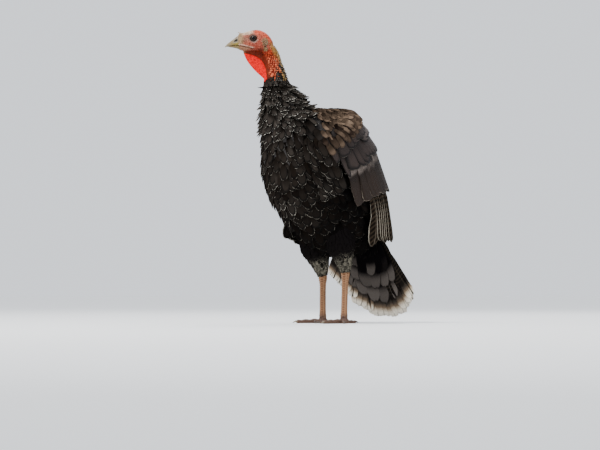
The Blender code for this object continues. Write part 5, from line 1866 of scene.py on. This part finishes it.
def shank_rings(side):
    hock, along, across, front, length = shank_frame(side)
    rings = []
    for share in np.linspace(-0.08, 1.0, 34):
        swell = 1.0 + HOCK_SWELL * math.exp(-((share - 0.04) / 0.11) ** 2)
        swell += ANKLE_SWELL * math.exp(-((share - 1.0) / 0.10) ** 2)
        centre = hock + along * (length * float(share))
        rings.append([centre + across * (math.sin(a) * SHANK_HALF_WIDTH * swell)
                      + front * (math.cos(a) * SHANK_HALF_DEPTH * swell) for a in RING_ANGLES])
    return rings


def pad_rings(side):
    centre = toe_frame(side, "middle")[0]
    rings = []
    for level in np.linspace(0.0, 1.0, 9):
        reach = FOOT_RADIUS * math.sqrt(max(0.05, 1 - (float(level) - 0.25) ** 2 / 0.60))
        height = 1.7 * FOOT_HEIGHT * float(level)
        rings.append([centre + Vector((math.sin(a) * reach, math.cos(a) * reach, height))
                      for a in RING_ANGLES])
    return rings


def toe_rings(side, toe):
    _, reach, radius, _ = TOES[toe]
    start, direction, beside = toe_frame(side, toe)
    rings = []
    for share in np.linspace(0.0, 1.0, 22):
        pads = 1.0 + 0.10 * math.cos(2 * math.pi * 3 * float(share))
        size = radius * (1.08 - 0.26 * float(share)) * pads * (0.80 if share == 1.0 else 1.0)
        place = start + direction * ((reach + TOE_START) * float(share)) + UP * (size * 0.86)
        rings.append(floor_ring(place, beside, size, 20))
    return rings


def make_leg_shape(side):
    """Shank, pad and toes as one smooth solid."""
    parts = [ring_solid("shank_shape", shank_rings(side)), ring_solid("pad_shape", pad_rings(side))]
    parts += [ring_solid("toe_shape", toe_rings(side, toe)) for toe in TOES]
    return melt_together(join(parts, "leg_" + side), LEG_VOXEL, 4)


def own_value(number):
    """A value from 0 to 1 that looks random, for the scale of a number."""
    return np.modf(np.abs(np.sin(number) * 43758.5))[0]


def scale_cells(a, b, across, along):
    """Distance from the nearest border of staggered scales, and a value of each scale's own."""
    column = np.floor(a / across)
    gaps, values = [], []
    for step_a in (-1, 0, 1, 2):
        col = column + step_a
        shift = 0.5 * (col % 2)
        row = np.floor(b / along - shift + 0.5)
        for step_b in (-1, 0, 1):
            gap_a = (a - col * across) * 0.72
            gap_b = b - (row + step_b + shift) * along
            gaps.append(np.hypot(gap_a, gap_b))
            values.append(own_value(col * 12.9898 + (row + step_b) * 78.233))
    order = np.argsort(gaps, axis=0)
    first, second = np.take_along_axis(np.array(gaps), order[:2], axis=0)
    own = np.take_along_axis(np.array(values), order[:1], axis=0)[0]
    return (second - first) / 2, own


def choose(mask, chosen, other):
    return tuple(np.where(mask, a, b) for a, b in zip(chosen, other))


def shank_scales(side, points):
    """Borders and values of the shank's scales, which are finer at its back."""
    hock, along, across, front, _ = shank_frame(side)
    local = points - np.array(hock)
    down = local @ np.array(along)
    angle = np.arctan2(local @ np.array(across), local @ np.array(front))
    ring = angle / (2 * math.pi) * 6 * SCALE_ACROSS
    coarse = scale_cells(ring + 0.5 * SCALE_ACROSS, down, SCALE_ACROSS, SCALE_ALONG)
    fine = scale_cells(ring * 2.0, down, SCALE_ACROSS * 0.9, SCALE_ALONG * 0.62)
    return choose(smooth_step(0.2, -0.3, np.cos(angle)) > 0.5, fine, coarse)


def toe_scales(side, points, normals, scales):
    """Borders and values of the toes' scales: plates across the top, pebbles at the sides."""
    foot = points - np.array((LEG_POINTS[side]["foot"][0], LEG_POINTS[side]["foot"][1], 0.0))
    best = np.full(len(points), -9.0)
    for toe, (_, reach, _, plates) in TOES.items():
        _, direction, beside = toe_frame(side, toe)
        run = foot @ np.array(direction)
        step = (reach + TOE_START) / (plates + 3)
        row = run / step
        plate = (0.5 - np.abs(row - np.floor(row) - 0.5)) * step, own_value(np.floor(row) * 12.9898)
        pebbles = scale_cells(run, foot @ np.array(beside) + points[:, 2], PEBBLE, PEBBLE)
        scales = choose(run > best, choose(normals[:, 2] > 0.15, plate, pebbles), scales)
        best = np.maximum(run, best)
    return scales


def scale_leg(item, side):
    """Presses the scales into the leg and paints them."""
    mesh = item.data
    world = read_vectors(mesh)
    normals = read_vectors(mesh, "normal")
    points = world - np.array(OFFSET)
    level = points[:, 2]
    scales = shank_scales(side, points)
    on_toes = toe_scales(side, points, normals, scales)
    border, own = choose(smooth_step(0.019, 0.014, level) > 0.5, on_toes, scales)
    lift = 0.00065 * smooth_step(0.0, 0.0016, border) - 0.00050 * bell(border, 0.00055)
    moved = world + normals * np.where(level < 0.0008, 0.0, lift)[:, None]
    moved[:, 2] = np.maximum(moved[:, 2], 0.0)
    write_points(mesh, moved)
    foot_mask = smooth_step(0.030, 0.012, level)
    colour = layered(plain_colours((0.105, 0.030, 0.010), len(points)), (
        ((0.070, 0.022, 0.009), smooth_step(0.45, 0.9, own)),
        ((0.170, 0.060, 0.020), smooth_step(0.35, 0.0, own) * 0.8),
        ((0.062, 0.036, 0.031), foot_mask),
    ))
    colour = layered(colour * (0.85 + 0.3 * own)[:, None], (
        ((0.420, 0.230, 0.115), bell(border - 0.0005, 0.00085) * (0.80 - 0.60 * foot_mask)),
        ((0.035, 0.014, 0.009), bell(border, 0.00022) * 0.6),
    ))
    paint(mesh, "Horn", np.clip(colour, 0, 1))
    shade_smooth(item)


def claw_rings(side, toe):
    _, length, radius, _ = TOES[toe]
    centre, along, across = toe_frame(side, toe)
    start = centre + along * (TOE_START + length - 0.002) + UP * (radius * 0.72)
    rings = []
    for i in range(12):
        t = i / 11
        size = CLAW_RADIUS * (1.0 - 0.86 * t ** 1.4) * (0.90 if i == 0 else 1.0)
        drop = 0.0014 * math.sin(math.pi * t) - (radius * 0.72 - 0.0009) * t * t
        place = start + along * ((CLAW_LENGTH + 0.001) * t) + UP * drop
        rings.append(oval(place, across, UP, size * 0.80, size, 14))
    return rings


def make_claws(side):
    item = join([ring_solid("claw_shape", claw_rings(side, toe)) for toe in TOES], "claws_" + side)
    points = read_vectors(item.data) - np.array(OFFSET)
    foot = np.array(LEG_POINTS[side]["foot"])
    reach = np.hypot(points[:, 0] - foot[0], points[:, 1] - foot[1])
    base = plain_colours((0.070, 0.052, 0.040), len(points))
    paint(item.data, "Horn", lerp(base, (0.25, 0.20, 0.14), smooth_step(0.070, 0.085, reach)))
    shade_smooth(item)
    return item


# Skin under the coat

BODY_VOXEL = 0.005
SKIN_DEPTH = 0.0036
COLLAR_DEPTH = 0.0155
THIGH_SKIN_DEPTH = 0.0034
ARM_SINK = 0.002
ARM_THICKNESS = 0.012
# Arm under the small coverts: distance down the wing, height over it, upper and lower angle
ARM_ROWS = (
    (-0.034, -0.0110, 62.0, 80.0), (-0.022, -0.0080, 46.0, 84.0), (0.000, 0.0030, 30.0, 90.0),
    (0.035, 0.0120, 21.0, 93.0), (0.070, 0.0110, 19.0, 93.0), (0.105, 0.0080, 20.0, 88.0),
    (0.140, 0.0040, 24.0, 82.0), (0.168, 0.0005, 34.0, 78.0),
)
FAR_ARM_END = 66.0


def trunk_ring(share):
    """A ring of the trunk's skin, which lies as deep as the roots of the coat."""
    inset = SKIN_DEPTH + neck_slim(share) + COLLAR_DEPTH * smooth_step(0.94, 1.0, share)
    points = []
    for angle in round_angles(48):
        u, v = np.array([share]), np.array([angle])
        point = read_surface(TRUNK_SURFACE, "points", u, v)[0]
        points.append(Vector(point - read_surface(TRUNK_SURFACE, "normals", u, v)[0] * inset))
    return points


def arm_rings(side):
    rings = []
    for down, height, upper, lower in ARM_ROWS:
        lowest = lower if side == "left" else min(lower, FAR_ARM_END)
        outer, inner = [], []
        for i in range(13):
            share = i / 12
            crown = math.sin(math.pi * (0.14 + 0.72 * share)) - (0.0 if side == "left" else 1.0)
            rise = height * crown if height > 0 else height
            angle = upper + (lowest - upper) * share
            outer.append(wing_point(side, down, angle, rise - ARM_SINK))
            inner.append(wing_point(side, down, angle, min(height, 0.0) - ARM_THICKNESS))
        rings.append(outer + list(reversed(inner)))
    return rings


def make_body_skin():
    parts = [ring_solid("body_core", [trunk_ring(share) for share in np.linspace(0.0, 1.0, 60)])]
    for side in SIDES:
        rings = [[thigh_point(side, float(share), angle, -THIGH_SKIN_DEPTH) for angle in round_angles(24)]
                 for share in np.linspace(0.0, 1.0, 20)]
        parts.append(ring_solid("thigh_core", rings))
        parts.append(ring_solid("arm_core", arm_rings(side)))
    return melt_together(join(parts, "skin_body"), BODY_VOXEL, 2)


# Build

# Feather finishes: tip of the vane, number of barbs, colours, and shine
FEATHERS = {
    "body": (COAT_TIP, 46.0, body_colour, 0.0),
    "neck": (NECK_TIP, 30.0, body_colour, 0.0),
    "thigh": (NECK_TIP, 30.0, thigh_colour, 0.0),
    "shoulder": (COAT_TIP, 46.0, shoulder_colour, 0.0),
    "mantle": (COVERT_TIP, 90.0, mantle_colour, 0.10),
    "covert": (COVERT_TIP, 90.0, covert_colour, 0.10),
    "secondary": (QUILL_TIP, 150.0, secondary_colour, 0.10),
    "flank": (QUILL_TIP, 120.0, body_colour, 0.0),
    "primary": (QUILL_TIP, 200.0, primary_colour, 0.0),
    "tail": (QUILL_TIP, 200.0, rectrix_colour, 0.0),
    "tail_covert": (COVERT_TIP, 110.0, tail_covert_colour, 0.0),
}
# Finishes of a wing's pieces, in the order that make_wing returns them
WING_FINISHES = {
    "left": ("primary", "secondary", "covert", "covert", "mantle", "shoulder", "secondary", "mantle"),
    "right": ("flank", "secondary", "covert", "covert", "mantle", "shoulder"),
}

pattern = make_vane_pattern()
feather = {key: vane_material("feather_" + key, pattern, *values) for key, values in FEATHERS.items()}

for item in make_coat():
    dress(item, feather["body"])
for side in SIDES:
    wing = make_wing(side)
    for item, finish in zip(wing, WING_FINISHES[side]):
        dress(item, feather[finish])
    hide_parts("wing_" + side)
    if side == "left":
        dress(make_flank(side), feather["body"])
    dress(make_thigh_coat(side), feather["thigh"])
dress(make_nape_feathers(), feather["neck"])
dress(make_bristles(), horn_material("bristle", 0.55))
tail_parts = make_tail()
for item in tail_parts:
    dress(item, feather["tail" if item.name == "tail_quills" else "tail_covert"])
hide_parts("tail")

under_down = new_material("under_down", {"Base Color": (0.016, 0.013, 0.012), "Roughness": 0.9})[0]
bare_skin = skin_material()
skin = make_body_skin()
skin.data.materials.append(under_down)
head_skin = make_head_skin()
head_skin.data.materials.append(bare_skin)
skin = join([head_skin, skin], "skin")
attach(skin, "root")
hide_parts("torso", "neck", "neck_upper", "head", "dewlap", "snood", "thigh_left", "thigh_right")
eye_gloss = eye_material()
for side in (1, -1):
    ball = make_eye(side)
    dress(ball, eye_gloss)
    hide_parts("eye_" + side_name(side))
    dress(make_lids(side), bare_skin)
bill_horn = horn_material("bill_horn", 0.40)
for bill_part, node in ((make_bill_upper(), "bill_upper"), (make_bill_lower(), "bill_lower")):
    paint_bill(bill_part)
    shade_smooth(bill_part)
    dress(bill_part, bill_horn)
    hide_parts(node)
leg_scales = horn_material("leg_scales", 0.48)
claw_horn = horn_material("claw_horn", 0.32)
for side in SIDES:
    leg = make_leg_shape(side)
    scale_leg(leg, side)
    dress(leg, leg_scales)
    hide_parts("shank_" + side, "foot_" + side, *["toe_" + toe + "_" + side for toe in TOES])
    claws = make_claws(side)
    dress(claws, claw_horn)
    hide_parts(*["claw_" + toe + "_" + side for toe in TOES])


# Floor, light and camera

SKY = (0.88, 0.92, 0.98, 1.0)
SKY_STRENGTH = 1.30
LIGHT_AIM = (0.0, 0.0, 0.35)
FLOOR_SIZE = 40.0
SENSOR_WIDTH = 36.0
VIEW_END = 60.0


def make_stage():
    bpy.ops.mesh.primitive_plane_add(size=FLOOR_SIZE, location=(0.0, 0.0, 0.0))
    floor = bpy.context.active_object
    floor.name = "floor"
    floor.data.materials.append(new_material("pale_floor", {
        "Base Color": (0.62, 0.62, 0.61), "Roughness": 0.75, "Specular IOR Level": 0.1,
        "Emission Color": SKY, "Emission Strength": 0.45})[0])


def place_item(name, data, place, aim, offset=Vector()):
    """A light or a camera at a place, turned towards its aim."""
    item = new_object(name, data)
    item.location = Vector(place) + offset
    item.rotation_mode = "QUATERNION"
    item.rotation_quaternion = (Vector(aim) - Vector(place)).to_track_quat("-Z", "Y")
    return item


def add_light(name, place, size, power):
    data = bpy.data.lights.new(name, "AREA")
    data.shape = "DISK"
    data.size = size
    data.energy = power
    place_item(name, data, place, LIGHT_AIM)


def make_light():
    world = bpy.data.worlds.new("pale_room")
    bpy.context.scene.world = world
    world.use_nodes = True
    world.node_tree.nodes["Background"].inputs["Color"].default_value = SKY
    world.node_tree.nodes["Background"].inputs["Strength"].default_value = SKY_STRENGTH
    add_light("key", (0.2, -1.8, 3.2), 0.9, 165.0)
    add_light("fill", (2.6, -2.4, 1.6), 2.0, 14.0)
    add_light("rim", (-1.2, 2.0, 2.6), 1.4, 55.0)


def make_camera():
    turn = math.radians(VIEW_AZIMUTH)
    right = Vector((math.cos(turn), math.sin(turn), 0.0))
    back = Vector((math.sin(turn), -math.cos(turn), 0.0))
    aim = right * VIEW_AIM[0] + UP * VIEW_AIM[1]
    place = aim + back * VIEW_DISTANCE
    place.z = VIEW_HEIGHT
    data = bpy.data.cameras.new("camera")
    data.lens = VIEW_LENS
    data.sensor_width = SENSOR_WIDTH
    data.clip_end = VIEW_END
    bpy.context.scene.camera = place_item("camera", data, place, aim, OFFSET)


make_stage()
make_light()
make_camera()
